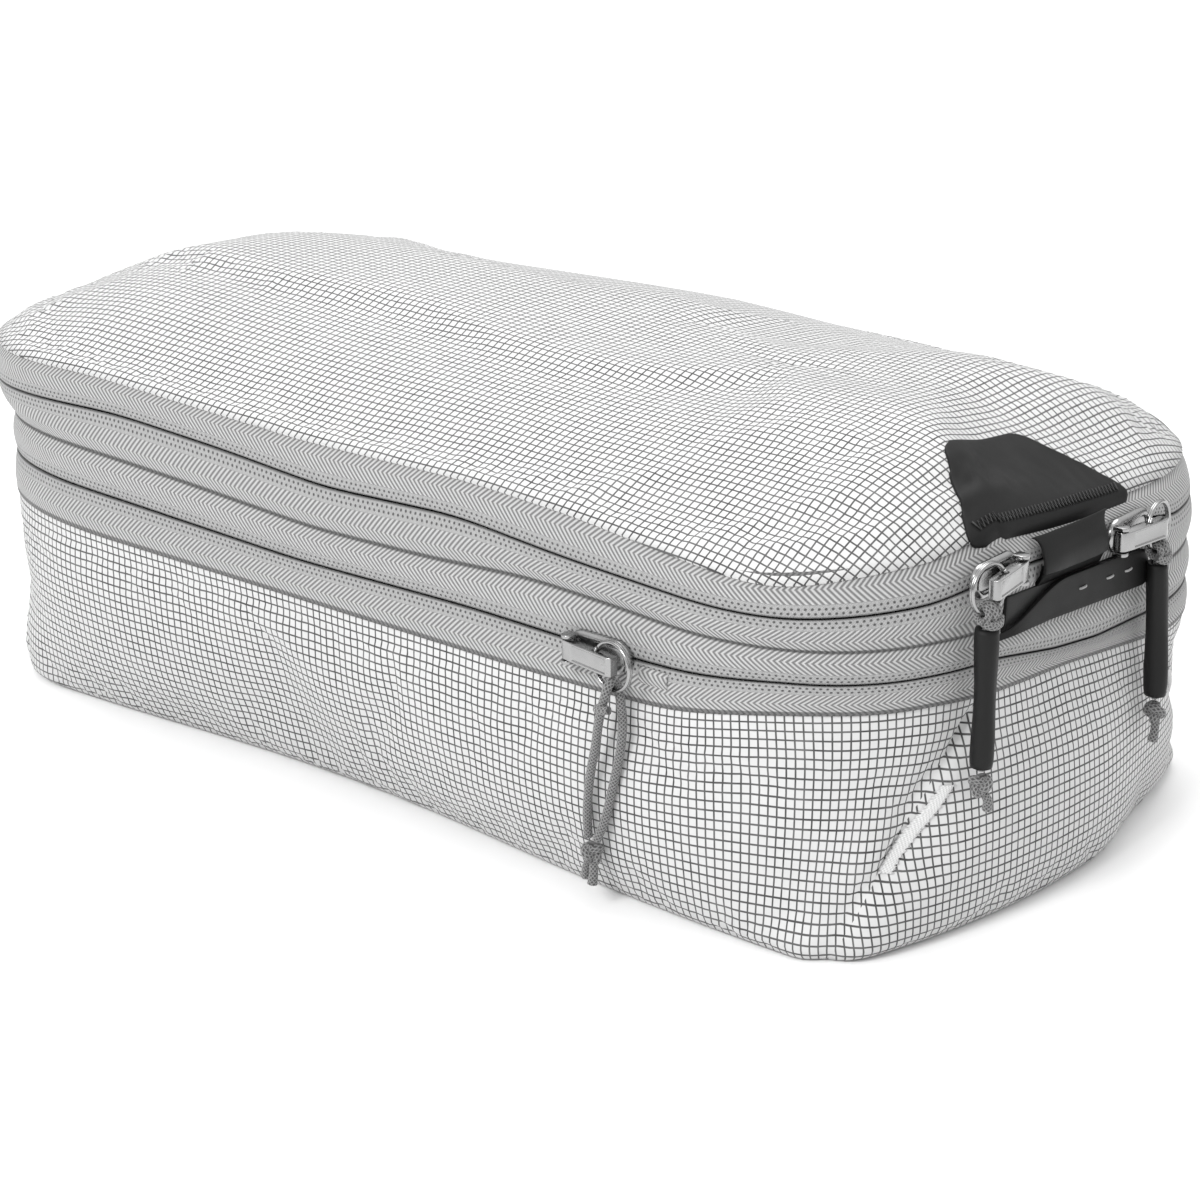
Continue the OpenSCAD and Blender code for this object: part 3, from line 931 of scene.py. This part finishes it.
def to_slider(points, stage, side):
    """Moves points from the frame of the puller, ring or foot to the slider's frame."""
    points = np.array(points, float)
    if stage == "foot":
        points = points + (0, 0, -RING_R)
        if side != "comp":
            points[:, 0] -= LEAN[side] * points[:, 2]
    if stage in ("foot", "ring"):
        points = turn_z(points + (0, -RING_R, 0), -RING_TURN[side]) + (0, -EYE_REACH, 0)
    if stage != "slider":
        points = turn_z(points, LIFT) + (*POST, 0)
    return points


def to_row(points, stage, side):
    """Moves points of a pull at one of its three sliders to the row frame."""
    p = to_slider(points, stage, side)
    if side == "comp":
        return np.column_stack([COMP_X - p[:, 1], -HALF_W - p[:, 0], COMP_ZIP + p[:, 2]])
    flip = -1 if side == "right" else 1
    y = PULL_Y + flip * (p[:, 1] - (HALF_W - CORNER_R))
    return np.column_stack([HALF_L + p[:, 0], y, MAIN_ZIP - PULL_DROP[side] + p[:, 2]])


def pull_piece(name, side, stage, verts, faces, uvs, material, body, slot, replaces=()):
    """A hard piece or cord built in a pull's own frame."""
    placed = to_row(verts, stage, side)
    if side != "left":
        faces = [tuple(reversed(f)) for f in faces]
        uvs = None if uvs is None else [tuple(reversed(c)) for c in uvs]
    mesh = mesh_from(name, placed, faces, uvs)
    return new_object(name, mesh, material, body, replaces)


def capsule(length, height, count=48):
    """Outline of a slot shape in Y and Z, anticlockwise seen from +X."""
    r = height / 2
    half = length / 2 - r
    points = []
    for k in range(count):
        a = 2 * math.pi * k / count
        points.append((half * (1 if math.cos(a) >= 0 else -1) + r * math.cos(a), r * math.sin(a)))
    return np.array(points)


def loft(rings):
    """Joins closed rings of equal length, with both ends capped."""
    count = len(rings[0])
    verts = np.vstack(rings)
    faces = []
    for r in range(len(rings) - 1):
        for c in range(count):
            d = (c + 1) % count
            faces.append((r * count + c, r * count + d, (r + 1) * count + d, (r + 1) * count + c))
    faces.append(tuple(reversed(range(count))))
    faces.append(tuple(range(len(verts) - count, len(verts))))
    return verts, faces


def slider_cover():
    """Capsule cover with a rounded rim round a shallow pan."""
    rings = []
    profile = [(0.3, SLIDER_BASE), (0.0, 0.6), (0.0, 1.5), (0.35, 2.1), (0.95, 2.5), (1.55, 2.5),
               (1.95, 2.2), (2.15, 1.75), (2.4, 1.6)]
    for inset, x in profile:
        ring = capsule(SLIDER_L - 2 * inset, SLIDER_H - 2 * inset)
        rings.append(np.column_stack([np.full(len(ring), x), ring]))
    return loft(rings)


def prism(outline, low, high):
    """Upright solid from an XY outline."""
    outline = np.array(outline, float)
    rings = [np.column_stack([outline, np.full(len(outline), z)]) for z in (low, high)]
    return loft(rings)


def join_parts(parts):
    """One vertex and face list from several."""
    verts, faces, start = [], [], 0
    for v, f in parts:
        verts.append(np.array(v, float))
        faces += [tuple(i + start for i in face) for face in f]
        start += len(v)
    return np.vstack(verts), faces


def arc_points(cx, cy, r, start, end, count):
    """Points of an arc between two angles in degrees."""
    return [(cx + r * math.cos(math.radians(a)), cy + r * math.sin(math.radians(a)))
            for a in np.linspace(start, end, count)]


def cheek_parts():
    """Two rounded cheeks that hold the puller's post."""
    outline = [(2.2, POST[1] - 1.9), (2.2, POST[1] + 1.5)]
    outline += arc_points(POST[0], POST[1], 1.75, 60, -80, 9)
    parts = []
    for s in (-1, 1):
        z = s * (PULLER_H / 2 + 0.9)
        parts.append(prism(outline[::-1], z - 0.5, z + 0.5))
    return parts


def make_slider(side, body):
    """Slider body: its cover, the cheeks for the puller and the keel that runs in the zip slot."""
    verts, faces = join_parts([slider_cover()] + cheek_parts())
    obj = pull_piece("slider_shell_" + side, side, "slider", verts, faces, None, CHROME, body, "steel",
                     ("slider_" + side,))
    add_bevel(obj, 0.22)
    keel = capsule(10, 0.8, 16)
    rings = [np.column_stack([np.full(16, x), keel]) for x in (-1.4, 0.5)]
    verts, faces = loft(rings)
    pull_piece("slider_keel_" + side, side, "slider", verts, faces, None, STEEL, body, "steel")


def make_puller(side, body):
    """Chunky bar with a rounded knuckle, a framed face and a round eye for the ring, the eye filled with a
    near-black plug of painted shade.
    """
    half = 1.5
    tip = -17.2
    outline = arc_points(0, 0, half, 180, 0, 9)
    outline += [(half + 0.25, -2.6), (half + 0.25, tip + 1.0), (half - 0.3, tip)]
    outline += [(0.3 - half, tip), (-half, tip + 1.0), (-half, -2.6)]
    verts, faces = prism(outline[::-1], -PULLER_H / 2, PULLER_H / 2)
    obj = pull_piece("puller_bar_" + side, side, "puller", verts, faces, None, CHROME, body, "steel",
                     ("puller_" + side,))
    sink_face(obj, side)
    add_bevel(obj, 0.45, 3, 25)
    # The eye is not cut through; a near-black plug in the coil's material stands in for it as painted shade
    # in the hole.
    eye = arc_points(0, -EYE_REACH - 0.35, 1.15, 0, 360, 24)[:-1]
    verts, faces = prism(eye, -PULLER_H / 2 - 0.04, PULLER_H / 2 + 0.04)
    pull_piece("puller_eye_" + side, side, "puller", verts, faces, None, COIL, body, "steel")


def sink_face(obj, side):
    """Frames the puller's outer face with a rim round a sunken panel."""
    bm = bmesh.new()
    bm.from_mesh(obj.data)
    outward = Vector((0, -1, 0)) if side == "comp" else Vector((1, 0, 0))
    bm.normal_update()
    flats = [f for f in bm.faces if f.normal.dot(outward) > 0.95]
    face = max(flats, key=lambda f: f.calc_area())
    bmesh.ops.inset_individual(bm, faces=[face], thickness=0.85 * MM, depth=0)
    bmesh.ops.inset_individual(bm, faces=[face], thickness=0.15 * MM, depth=-0.35 * MM)
    bm.to_mesh(obj.data)
    bm.free()
    for poly in obj.data.polygons:
        poly.use_smooth = True


def sweep(path, radius, sides=14, closed=False):
    """Tube along a path; radius is a number or one per point. U runs along, V round."""
    path = np.array(path, float)
    count = len(path)
    radii = np.broadcast_to(radius, (count,))
    if closed:
        heading = np.roll(path, -1, 0) - np.roll(path, 1, 0)
    else:
        heading = np.gradient(path, axis=0)
    heading /= np.linalg.norm(heading, axis=1, keepdims=True)
    side = np.cross(heading[0], (0.21, 0.97, 0.11))
    rings = []
    for k in range(count):
        side = side - heading[k] * side.dot(heading[k])
        side /= np.linalg.norm(side)
        other = np.cross(heading[k], side)
        angle = np.linspace(0, 2 * math.pi, sides, endpoint=False)[:, None]
        rings.append(path[k] + radii[k] * (np.cos(angle) * side + np.sin(angle) * other))
    along = np.concatenate([[0], np.cumsum(np.linalg.norm(np.diff(path, axis=0), axis=1))])
    faces, uvs = [], []
    for r in range(count if closed else count - 1):
        q = (r + 1) % count
        u0 = along[r]
        u1 = along[q] if q else along[r] + np.linalg.norm(path[0] - path[r])
        for c in range(sides):
            d = (c + 1) % sides
            faces.append((r * sides + c, r * sides + d, q * sides + d, q * sides + c))
            girth = 2 * math.pi * float(np.mean(radii)) / sides
            uvs.append(((u0, c * girth), (u0, (c + 1) * girth), (u1, (c + 1) * girth), (u1, c * girth)))
    if not closed:
        for face in (tuple(reversed(range(sides))), tuple(range((count - 1) * sides, count * sides))):
            faces.append(face)
            uvs.append(tuple((0.0, 0.0) for _ in face))
    return np.vstack(rings), faces, uvs


def dense(points, step=0.6):
    """Rounded path through a few points, at close steps."""
    p = np.array(points, float)
    p = np.vstack([2 * p[0] - p[1], p, 2 * p[-1] - p[-2]])
    out = []
    for k in range(1, len(p) - 2):
        a, b, c, d = p[k - 1:k + 3]
        cells = max(2, int(np.linalg.norm(c - b) / step))
        for t in np.arange(cells) / cells:
            out.append(0.5 * (2 * b + (c - a) * t + (2 * a - 5 * b + 4 * c - d) * t * t
                              + (3 * b - a - 3 * c + d) * t ** 3))
    out.append(p[-2])
    return np.array(out)


def make_ring(side, body):
    """Split ring: one wire wound twice round."""
    turns = 2
    t = np.linspace(0, 1, 128)
    angle = 2 * math.pi * turns * t + 0.6
    shift = (t - 0.5) * 1.05
    path = np.column_stack([shift, RING_R * np.cos(angle), RING_R * np.sin(angle)])
    verts, faces, uvs = sweep(path, 0.5, 10)
    pull_piece("split_ring_" + side, side, "ring", verts, faces, uvs, CHROME, body, "steel",
               ("ring_" + side,))


def knot_path(size, turn):
    """A loop that passes over and under itself three times."""
    t = np.linspace(0, 2 * math.pi, 90, endpoint=False)
    x = np.sin(t) + 2 * np.sin(2 * t)
    y = np.cos(t) - 2 * np.cos(2 * t)
    z = -1.25 * np.sin(3 * t)
    path = np.column_stack([x, z, y]) * size / 3
    return turn_z(path, turn)


def make_knot(side, body, centre, tails):
    """Stopper knot with its core and the loose ends of the cord."""
    verts, faces, uvs = sweep(knot_path(2.3, 0.5) + centre, 1.2, 12, closed=True)
    pull_piece("knot_turns_" + side, side, "foot", verts, faces, uvs, CORD, body, "cord",
               ("knot_" + side,))
    core = sweep(dense([centre + np.array((0, 0, 2.6)), centre + np.array((0.4, 0.3, 0)),
                        centre + np.array((0, 0, -2.4))]), 1.5, 12)
    pull_piece("knot_core_" + side, side, "foot", *core, CORD, body, "cord")
    for index, tail in enumerate(tails):
        path = dense([centre + np.array(p) for p in tail])
        flare = np.linspace(1.1, 1.35, len(path))
        pull_piece(f"cord_tail_{index}_{side}", side, "foot", *sweep(path, flare), CORD, body, "cord")


def declare_cord(side, route):
    """Works out a pull's cord route in the row frame, in metres; nothing uses it."""
    path = to_row(route, "foot", side) * MM


def make_main_pull(side):
    """Cord, hitch, sleeve and knot on one of the two lid sliders."""
    body = f"pull_{side}_body"
    route = dense(MAIN_ROUTE)
    cord = pull_piece("pull_cord_" + side, side, "foot", *sweep(route, CORD_D / 2), CORD, body, "cord",
                      ("cord_" + side,))
    declare_cord(side, route)
    make_hitch(side, body)
    make_sleeve(side, body)
    make_knot(side, body, np.array((0, 0, -46.1)), [[(0.6, 0.8, -2.2), (1.0, 2.0, -4.6), (0.6, 2.4, -7.2)]])


def make_hitch(side, body):
    """Two turns of cord beside the wire and a bar across them."""
    for index, y in enumerate((-1.8, 1.8)):
        t = np.linspace(0, 2 * math.pi, 40, endpoint=False)
        path = np.column_stack([1.8 * np.cos(t), y + 0.3 * np.sin(t), -0.1 + 1.8 * np.sin(t)])
        pull_piece(f"hitch_turn_{index}_{side}", side, "foot", *sweep(path, 0.95, 12, closed=True),
                   CORD, body, "cord")
    bar = dense([(1.3, -3.2, -1.4), (2.5, -1.4, -2.6), (2.6, 1.4, -2.6), (1.3, 3.2, -1.4)])
    pull_piece("hitch_bar_" + side, side, "foot", *sweep(bar, 1.1, 12), CORD, body, "cord")


def make_sleeve(side, body):
    """Soft tube, pinched a little where the cord goes in and out."""
    top, length, bore, count = -4.0, 37.0, 1.75, 32
    share = np.linspace(0, 1, 30)
    pinch = np.exp(-share / 0.03) + np.exp(-(1 - share) / 0.03)
    outer = 3.0 - 0.22 * pinch + 0.1 * np.sin(9 * share)
    sway = 0.25 * np.sin(3.2 * share)
    angle = np.linspace(0, 2 * math.pi, count, endpoint=False)
    rings = []
    for t, radius, shift in zip(share, outer, sway):
        flat = radius * (1 + 0.05 * np.cos(2 * angle + 4 * t))
        rings.append(np.column_stack([shift + flat * np.cos(angle), flat * np.sin(angle),
                                      np.full(count, top - length + length * t)]))
    for t, shift in ((1, sway[-1]), (0, sway[0])):
        rings.append(np.column_stack([shift + bore * np.cos(angle), bore * np.sin(angle),
                                      np.full(count, top - length + length * t)]))
    verts, faces = loft(rings)
    faces = faces[:-2]
    last = (len(rings) - 1) * count
    for c in range(count):
        d = (c + 1) % count
        faces.append((last + c, last + d, d, c))
    pull_piece("sleeve_tube_" + side, side, "foot", verts, faces, None, SLEEVE, body, "sleeve",
               ("sleeve_" + side,))


def make_comp_pull():
    """Open loop of cord with a knot on the expansion slider."""
    body = "pull_comp_body"
    route = dense(COMP_ROUTE)
    cord = pull_piece("pull_cord_comp", "comp", "foot", *sweep(route, CORD_D / 2), CORD, body, "cord",
                      ("cord_comp",))
    declare_cord("comp", route)
    collar = dense([(2.9, -2.0, -4.2), (3.4, 0.6, -4.9), (2.4, 3.0, -5.4), (-0.6, 3.4, -5.6)])
    pull_piece("hitch_bar_comp", "comp", "foot", *sweep(collar, 1.1, 12), CORD, body, "cord")
    make_knot("comp", body, np.array((-0.6, 8.0, -48.1)),
              [[(0.4, -0.8, -2.2), (0.9, -1.4, -5.0), (1.2, -1.2, -8.0)],
               [(0.2, 1.2, -2.2), (0.3, 2.0, -4.8), (0.0, 2.3, -7.6)]])


def make_pulls():
    """The three pulls, with their cords."""
    for side in ("left", "right"):
        make_main_pull(side)
    make_comp_pull()


def make_sliders():
    """Slider, puller and split ring of each of the three pulls."""
    for side in ("left", "right", "comp"):
        make_slider(side, f"slider_{side}_body")
        make_puller(side, f"puller_{side}_body")
        make_ring(side, f"puller_{side}_body")


# ---- gusset, tabs, stitches, tacks and handle ----


def make_gusset():
    """Pleated cloth behind the lower zip; it stays fixed in place and rides on no body."""
    rows = []
    low, high = SHELL_H + 1.2, MID_SEAM - 1.0
    for k in range(25):
        t = k / 24
        rows.append((low + (high - low) * t, -4.6 - 1.5 * math.cos(6 * math.pi * t)))
    verts, faces, uvs = zones_to_grid([band_zone(z, rows) for z in range(4)])
    faces = [tuple(reversed(f)) for f in faces]
    uvs = [tuple(reversed(c)) for c in uvs]
    mesh = mesh_from("gusset", verts, faces, uvs)
    obj = bpy.data.objects.new("gusset", mesh)
    bpy.context.scene.collection.objects.link(obj)
    mesh.materials.append(GUSSET)
    add_thickness(obj, 0.4)
    apply_modifiers(obj)
    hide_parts("expansion_gusset")
    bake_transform(obj)


def surface_of(names):
    """Ray-castable copy of some pieces' meshes, in millimetres."""
    bm = bmesh.new()
    for name in names:
        bm.from_mesh(bpy.data.objects[name].data)
    tree = BVHTree.FromBMesh(bm)
    bm.free()

    def hit(start, aim):
        found = tree.ray_cast(Vector(start) * MM, Vector(aim))
        if found[0] is None:
            return None
        return np.array(found[0]) / MM
    return hit


def sheet_grid(rows, cols, place):
    """Points and UVs of a sheet; place takes two shares from 0 to 1, up and across."""
    spots = [place(r / (rows - 1), c / (cols - 1)) for r in range(rows) for c in range(cols)]
    verts, uvs_at = zip(*spots)
    return np.array(verts), uvs_at


def sheet_faces(rows, cols, uvs_at, flip=False):
    """Faces of a sheet and the UVs of their corners."""
    faces, uvs = [], []
    for r in range(rows - 1):
        for c in range(cols - 1):
            a = r * cols + c
            quad = (a, a + 1, a + cols + 1, a + cols)
            if flip:
                quad = (a, a + cols, a + cols + 1, a + 1)
            faces.append(quad)
            uvs.append(tuple(uvs_at[i] for i in quad))
    return faces, uvs


def make_sheet(name, rows, cols, place, material, body, replaces, thick=1.1, lift=0.0):
    """Thick sheet with soft edges, lifted off what it lies on along its own normals."""
    verts, uvs_at = sheet_grid(rows, cols, place)
    mesh = mesh_from(name, verts, *sheet_faces(rows, cols, uvs_at))
    for vertex, normal in zip(mesh.vertices, [v.normal.copy() for v in mesh.vertices]):
        vertex.co = vertex.co + normal * lift * MM
    obj = new_object(name, mesh, material, body, replaces)
    add_thickness(obj, thick)
    add_bevel(obj, 0.25, 2, 50)


PATCH_LOW = -3.0
PATCH_HIGH = 28.0


def patch_half_width(s):
    """Half width of the tapered patch at a distance up the lid, with rounded corners."""
    corner = 4.0
    half = 36 + (18.5 - 36) * min(1.0, max(0.0, (s - 1) / (PATCH_HIGH - 1)))
    for gap in (PATCH_HIGH - s, s - PATCH_LOW):
        if gap < corner:
            half -= corner * (1 - math.sqrt(max(0, 1 - (1 - gap / corner) ** 2))) * 0.9
    return half


def make_patch(hit):
    """Tapered patch that starts on the tape and lies up the lid."""
    def place(up, across):
        s = PATCH_LOW + (PATCH_HIGH - PATCH_LOW) * up
        y = FRONT_Y - 2 + patch_half_width(s) * (2 * across - 1)
        return point_up_lid(hit, y, s), (y, s)
    make_sheet("patch", 27, 49, place, COATED, "lid", ("lid_patch",), 1.0, 0.9)


@functools.cache
def lid_profile(hit, y):
    """Line up the lid's skin at a place across the front end, and the distances along it."""
    places = [hit((x, y, 160), (0, 0, -1)) for x in np.linspace(178, 122, 90)]
    line = np.array([place for place in places if place is not None and place[2] > LID_SEAM - 16])
    steps = np.linalg.norm(np.diff(line, axis=0), axis=1)
    return line, np.concatenate([[0], np.cumsum(steps)])


def point_up_lid(hit, y, s):
    """Point a distance up the lid's skin from its seam; below the seam it hangs down the tape."""
    line, along = lid_profile(hit, y)
    if s < 0:
        return line[0] + np.array((0.10 * -s, 0, s))
    return np.array([np.interp(s, along, line[:, k]) for k in range(3)])


@functools.cache
def wall_profile(hit, y):
    """Heights of three sound places on the band's front face, and how far out it is there."""
    heights = (MID_SEAM - 3, MAIN_ZIP - 3.5, LID_SEAM - 9)
    return heights, [hit((250, y, height), (-1, 0, 0))[0] for height in heights]


def front_wall(hit, y, z):
    """Smooth front face of the band at a height."""
    return np.interp(z, *wall_profile(hit, round(y, 1)))


def make_neck(hit):
    """Strap that bulges over the zip; its lower fold is near-black, painted shadow where the strap passes
    under.
    """
    top = LID_SEAM - 4.5
    low = MAIN_ZIP - 9.5
    # The lower sheet sits a little inside and is near-black: painted shadow under the strap.
    for name, first, last, material, lift, node in (
            ("neck_strap", 0.0, 0.62, COATED, 0.0, ("lid_tab_neck",)),
            ("neck_fold", 0.5, 1.0, SHADOW_BLACK, -0.8, ())):
        def place(up, across, first=first, last=last):
            t = last - (last - first) * up
            side = 2 * across - 1
            y = FRONT_Y + (15.2 + 3.2 * math.exp(-t / 0.07)) * side
            z = top + (low - top) * t - 1.0 * (y - FRONT_Y) / 15
            out = 1.2 + 3.6 * math.sin(math.pi * min(1, t + 0.08)) * (1 - 0.25 * side ** 4)
            return (front_wall(hit, y, z) + out, y, z), (y, z)
        make_sheet(name, 17, 25, place, material, "lid", node, lift=lift)


TAB_LOW = MID_SEAM - 2.2
TAB_HIGH = MID_SEAM + 7.6
TAB_LEFT = FRONT_Y - 38.0
TAB_RIGHT = FRONT_Y + 38.0
TAB_TILT = 0.075


def lower_tab_point(hit, start, is_flap, up, across):
    """Point of the grip's back layer, or of the flap that is folded over it."""
    y = start + (TAB_RIGHT - start) * across
    top, lean, out = TAB_HIGH, 0.0, 1.0
    if is_flap:
        top = TAB_LOW + 1.2 + (TAB_HIGH - TAB_LOW - 1.2) * smooth((y - TAB_LEFT - 2) / 34) ** 1.3
        lean, out = 0.9 * (1 - up), 2.4
    end = max(0.0, (y - (TAB_RIGHT - 4.5)) / 4.5)
    pinch = (TAB_HIGH - TAB_LOW) / 2 * (1 - math.sqrt(max(0.0, 1 - end * end)))
    z = TAB_LOW + pinch + (top - TAB_LOW - 2 * pinch) * up - TAB_TILT * (y - TAB_LEFT)
    return (front_wall(hit, y, max(z, MID_SEAM - 4)) + out + lean, y, z), (y, z)


def make_lower_tab(hit):
    """Grip below the zip: a back layer with a rounded end and a flap folded over it."""
    for name, start, is_flap, node in (("lower_tab_back", TAB_LEFT + 9, False, "lower_pull_tab"),
                                       ("lower_tab_flap", TAB_LEFT, True, "lower_tab_fold")):
        place = functools.partial(lower_tab_point, hit, start, is_flap)
        make_sheet(name, 11, 61, place, COATED, "collar", (node,))
    for index, y in enumerate((FRONT_Y + 5, FRONT_Y + 18, FRONT_Y + 27)):
        z = (TAB_LOW + TAB_HIGH) / 2 + 0.6 - TAB_TILT * (y - TAB_LEFT)
        x = front_wall(hit, y, z) + 3.0
        path = dense([(x - 0.5, y - 1.7, z), (x, y - 1.0, z), (x, y + 1.0, z), (x - 0.5, y + 1.7, z)])
        mesh = mesh_from("dash", *sweep(path, 0.32, 8))
        new_object(f"tab_stitch_{index}", mesh, WHITE_THREAD, "collar")


def make_zigzag(hit):
    """Zigzag stitch along the front edge of the patch."""
    path = []
    count = 84
    for k in range(count + 1):
        y = FRONT_Y - 34.5 + 65 * k / count
        s = 1.0 if k % 2 else 3.3
        place = point_up_lid(hit, y, s)
        ahead = point_up_lid(hit, y, s + 1)
        up = ahead - place
        out = np.array((up[2], 0, -up[0]))
        path.append(place + out / np.linalg.norm(out) * 1.25)
    new_object("patch_stitch", mesh_from("patch_stitch", *sweep(path, 0.24, 6)), THREAD, "lid")


def seam_point(corner, z):
    """Point of a lower corner's dart seam at a height; corners go round from the near front one."""
    top = WAIST[corner][0][-1]
    foot = FOOT[corner][0][-1]
    w = 1 - z / (SHELL_H + 0.6)
    drawn = top * (1 + band_push(top[None, :], SHELL_H)[0] / np.linalg.norm(top))
    return drawn * (1 - w) + foot * w


def wall_gap(hit, spot, out, z, last):
    """How far the wall stands outside a spot; the last sound value where a ray slips through a fold."""
    found = hit((*(spot + out * 40), z), (-out[0], -out[1], 0))
    if found is None:
        return last
    gap = float((found[:2] - spot) @ out)
    return gap if abs(gap) < 8 else last


TACK_TOP = 43.0
TACK_LENGTH = 21.0
TACK_STITCHES = 64


def tack_points(hit, corner):
    """Points and UVs of a satin-stitched bar down one corner seam, frayed a little at its edges."""
    top = TACK_TOP - (6 if corner == 1 else 0)
    columns = 9
    gap = 1.0
    verts, uvs_at = [], []
    for r in range(TACK_STITCHES):
        along = TACK_LENGTH * r / (TACK_STITCHES - 1)
        middle = seam_point(corner, top - along)
        out = middle / np.linalg.norm(middle)
        across = np.array((-out[1], out[0]))
        fray = 0.35 * math.sin(2.9 * r) + 0.25 * math.sin(1.7 * r + corner)
        for side in np.linspace(-1, 1, columns):
            spot = middle + across * (1.7 + fray * abs(side)) * side
            gap = wall_gap(hit, spot, out, top - along, gap)
            ridge = 0.35 + 0.55 * math.sqrt(max(0.0, 1 - side * side)) + 0.12 * (r % 2)
            verts.append((*(spot + out * (gap + ridge)), top - along))
            uvs_at.append((along, 2 * side))
    return verts, sheet_faces(TACK_STITCHES, columns, uvs_at, flip=True)


def make_tacks(hit):
    """Satin-stitched bars over the four lower corner seams."""
    for corner, place in enumerate(("front_left", "front_right", "rear_right", "rear_left")):
        verts, (faces, uvs) = tack_points(hit, corner)
        mesh = mesh_from("tack", verts, faces, uvs)
        obj = new_object("tack_" + place, mesh, WHITE_TRIM, "base", ("bar_tack_" + place,))
        add_thickness(obj, 0.5, even=False)


def make_handle(hit):
    """Webbing strap and its two sewn ends on the rear of the band."""
    low, high = node_box("rear_handle")

    def strap(up, across):
        z = low[2] + (high[2] - low[2]) * up
        y = low[1] + (high[1] - low[1]) * across
        bow = smooth((abs(low[1]) - abs(y)) / 13)
        return (high[0] - 0.9 - 4.9 * bow, y, z), (y, z)
    make_sheet("handle_strap", 9, 81, strap, WEBBING, "handle", ("rear_handle",))
    for side in ("left", "right"):
        node = "handle_anchor_" + side
        end_low, end_high = node_box(node)

        def sewn_end(up, across, end_low=end_low, end_high=end_high):
            z = end_low[2] + (end_high[2] - end_low[2]) * up
            y = end_low[1] + (end_high[1] - end_low[1]) * across
            return (hit((-250, y, MID_SEAM + 3), (1, 0, 0))[0] - 1.3, y, z), (y, z)
        make_sheet("handle_end_" + side, 9, 13, sewn_end, WEBBING, "collar", (node,))


def make_tape_end():
    """Folded strip of tape beside the parked compression slider."""
    low, high = node_box("comp_tape_end")

    def place(up, across):
        x = low[0] + (high[0] - low[0]) * across
        rise = (high[2] - low[2]) * up
        return (x, -HALF_W - 0.3 - 0.9 * math.sin(math.pi * up), low[2] + rise), (x, rise + TWILL_EDGE)
    verts, uvs_at = sheet_grid(9, 9, place)
    mesh = mesh_from("tape_end", verts, *sheet_faces(9, 9, uvs_at))
    add_thickness(new_object("tape_end", mesh, TAPE, "base", ("comp_tape_end",)), 0.5)


def make_trims():
    """Everything that lies on the finished cloth and bands."""
    lid_hit = surface_of(["lid_cloth"])
    band_hit = surface_of(["shell", "tape_comp_lower", "tape_comp_upper", "tape_main_lower", "tape_lid"])
    make_patch(lid_hit)
    make_zigzag(lid_hit)
    make_neck(band_hit)
    make_lower_tab(band_hit)
    make_tacks(band_hit)
    make_handle(band_hit)
    make_tape_end()


# ---- stage, light and camera ----


def make_stage():
    """Wide pale floor under the bag."""
    mesh = bpy.data.meshes.new("floor")
    reach = 6.0
    corners = [(-reach, -reach, 0), (reach, -reach, 0), (reach, reach, 0), (-reach, reach, 0)]
    mesh.from_pydata(corners, [], [(0, 1, 2, 3)])
    floor = bpy.data.objects.new("floor", mesh)
    bpy.context.scene.collection.objects.link(floor)
    mesh.materials.append(floor_material())


def area_light(name, place, target, size, watts):
    """Soft round light aimed at a point."""
    light = bpy.data.lights.new(name, "AREA")
    light.shape = "DISK"
    light.size = size
    light.energy = watts
    obj = bpy.data.objects.new(name, light)
    obj.location = place
    aim = Vector(target) - Vector(place)
    obj.rotation_euler = aim.to_track_quat("-Z", "Y").to_euler()
    bpy.context.scene.collection.objects.link(obj)


def make_world():
    """Bright overhead, darker towards the horizon, so that metal has something to mirror."""
    world = bpy.data.worlds.new("studio")
    world.use_nodes = True
    tree = world.node_tree
    place = tree.nodes.new("ShaderNodeTexCoord")
    split = tree.nodes.new("ShaderNodeSeparateXYZ")
    ramp = tree.nodes.new("ShaderNodeMapRange")
    for index, number in ((1, 0.0), (2, 0.55), (3, 0.22), (4, 1.15)):
        ramp.inputs[index].default_value = number
    background = tree.nodes["Background"]
    background.inputs[0].default_value = (1, 1, 1, 1)
    tree.links.new(place.outputs["Generated"], split.inputs[0])
    tree.links.new(split.outputs[2], ramp.inputs[0])
    tree.links.new(ramp.outputs[0], background.inputs[1])
    bpy.context.scene.world = world


def make_lights():
    """Studio world, a key light from the near side and a top light."""
    make_world()
    area_light("key", (0.1, -1.5, 1.2), (0, 0, 0.06), 0.6, 19)
    area_light("top", (-0.3, 0.5, 1.7), (0, 0, 0.06), 1.4, 15)
    bpy.context.scene.view_settings.view_transform = "Standard"


def make_camera():
    """Camera above the near front corner, with a long lens."""
    azimuth = math.radians(39.3)
    elevation = math.radians(21.2)
    distance = 0.970
    target = Vector((0.026, -0.019, 0.047))
    back = Vector((math.sin(azimuth) * math.cos(elevation),
                   -math.cos(azimuth) * math.cos(elevation),
                   math.sin(elevation)))
    camera = bpy.data.cameras.new("camera")
    camera.lens = 103.5
    camera.sensor_width = 36.0
    obj = bpy.data.objects.new("camera", camera)
    obj.location = target + back * distance
    obj.rotation_euler = (-back).to_track_quat("-Z", "Y").to_euler()
    bpy.context.scene.collection.objects.link(obj)
    bpy.context.scene.camera = obj


make_camera()
make_pulls()
make_sliders()
make_stage()
make_lights()
make_shell()
make_tapes()
make_coils()
make_gusset()
make_lid()
make_trims()

for piece, body in PENDING:
    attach(piece, body)
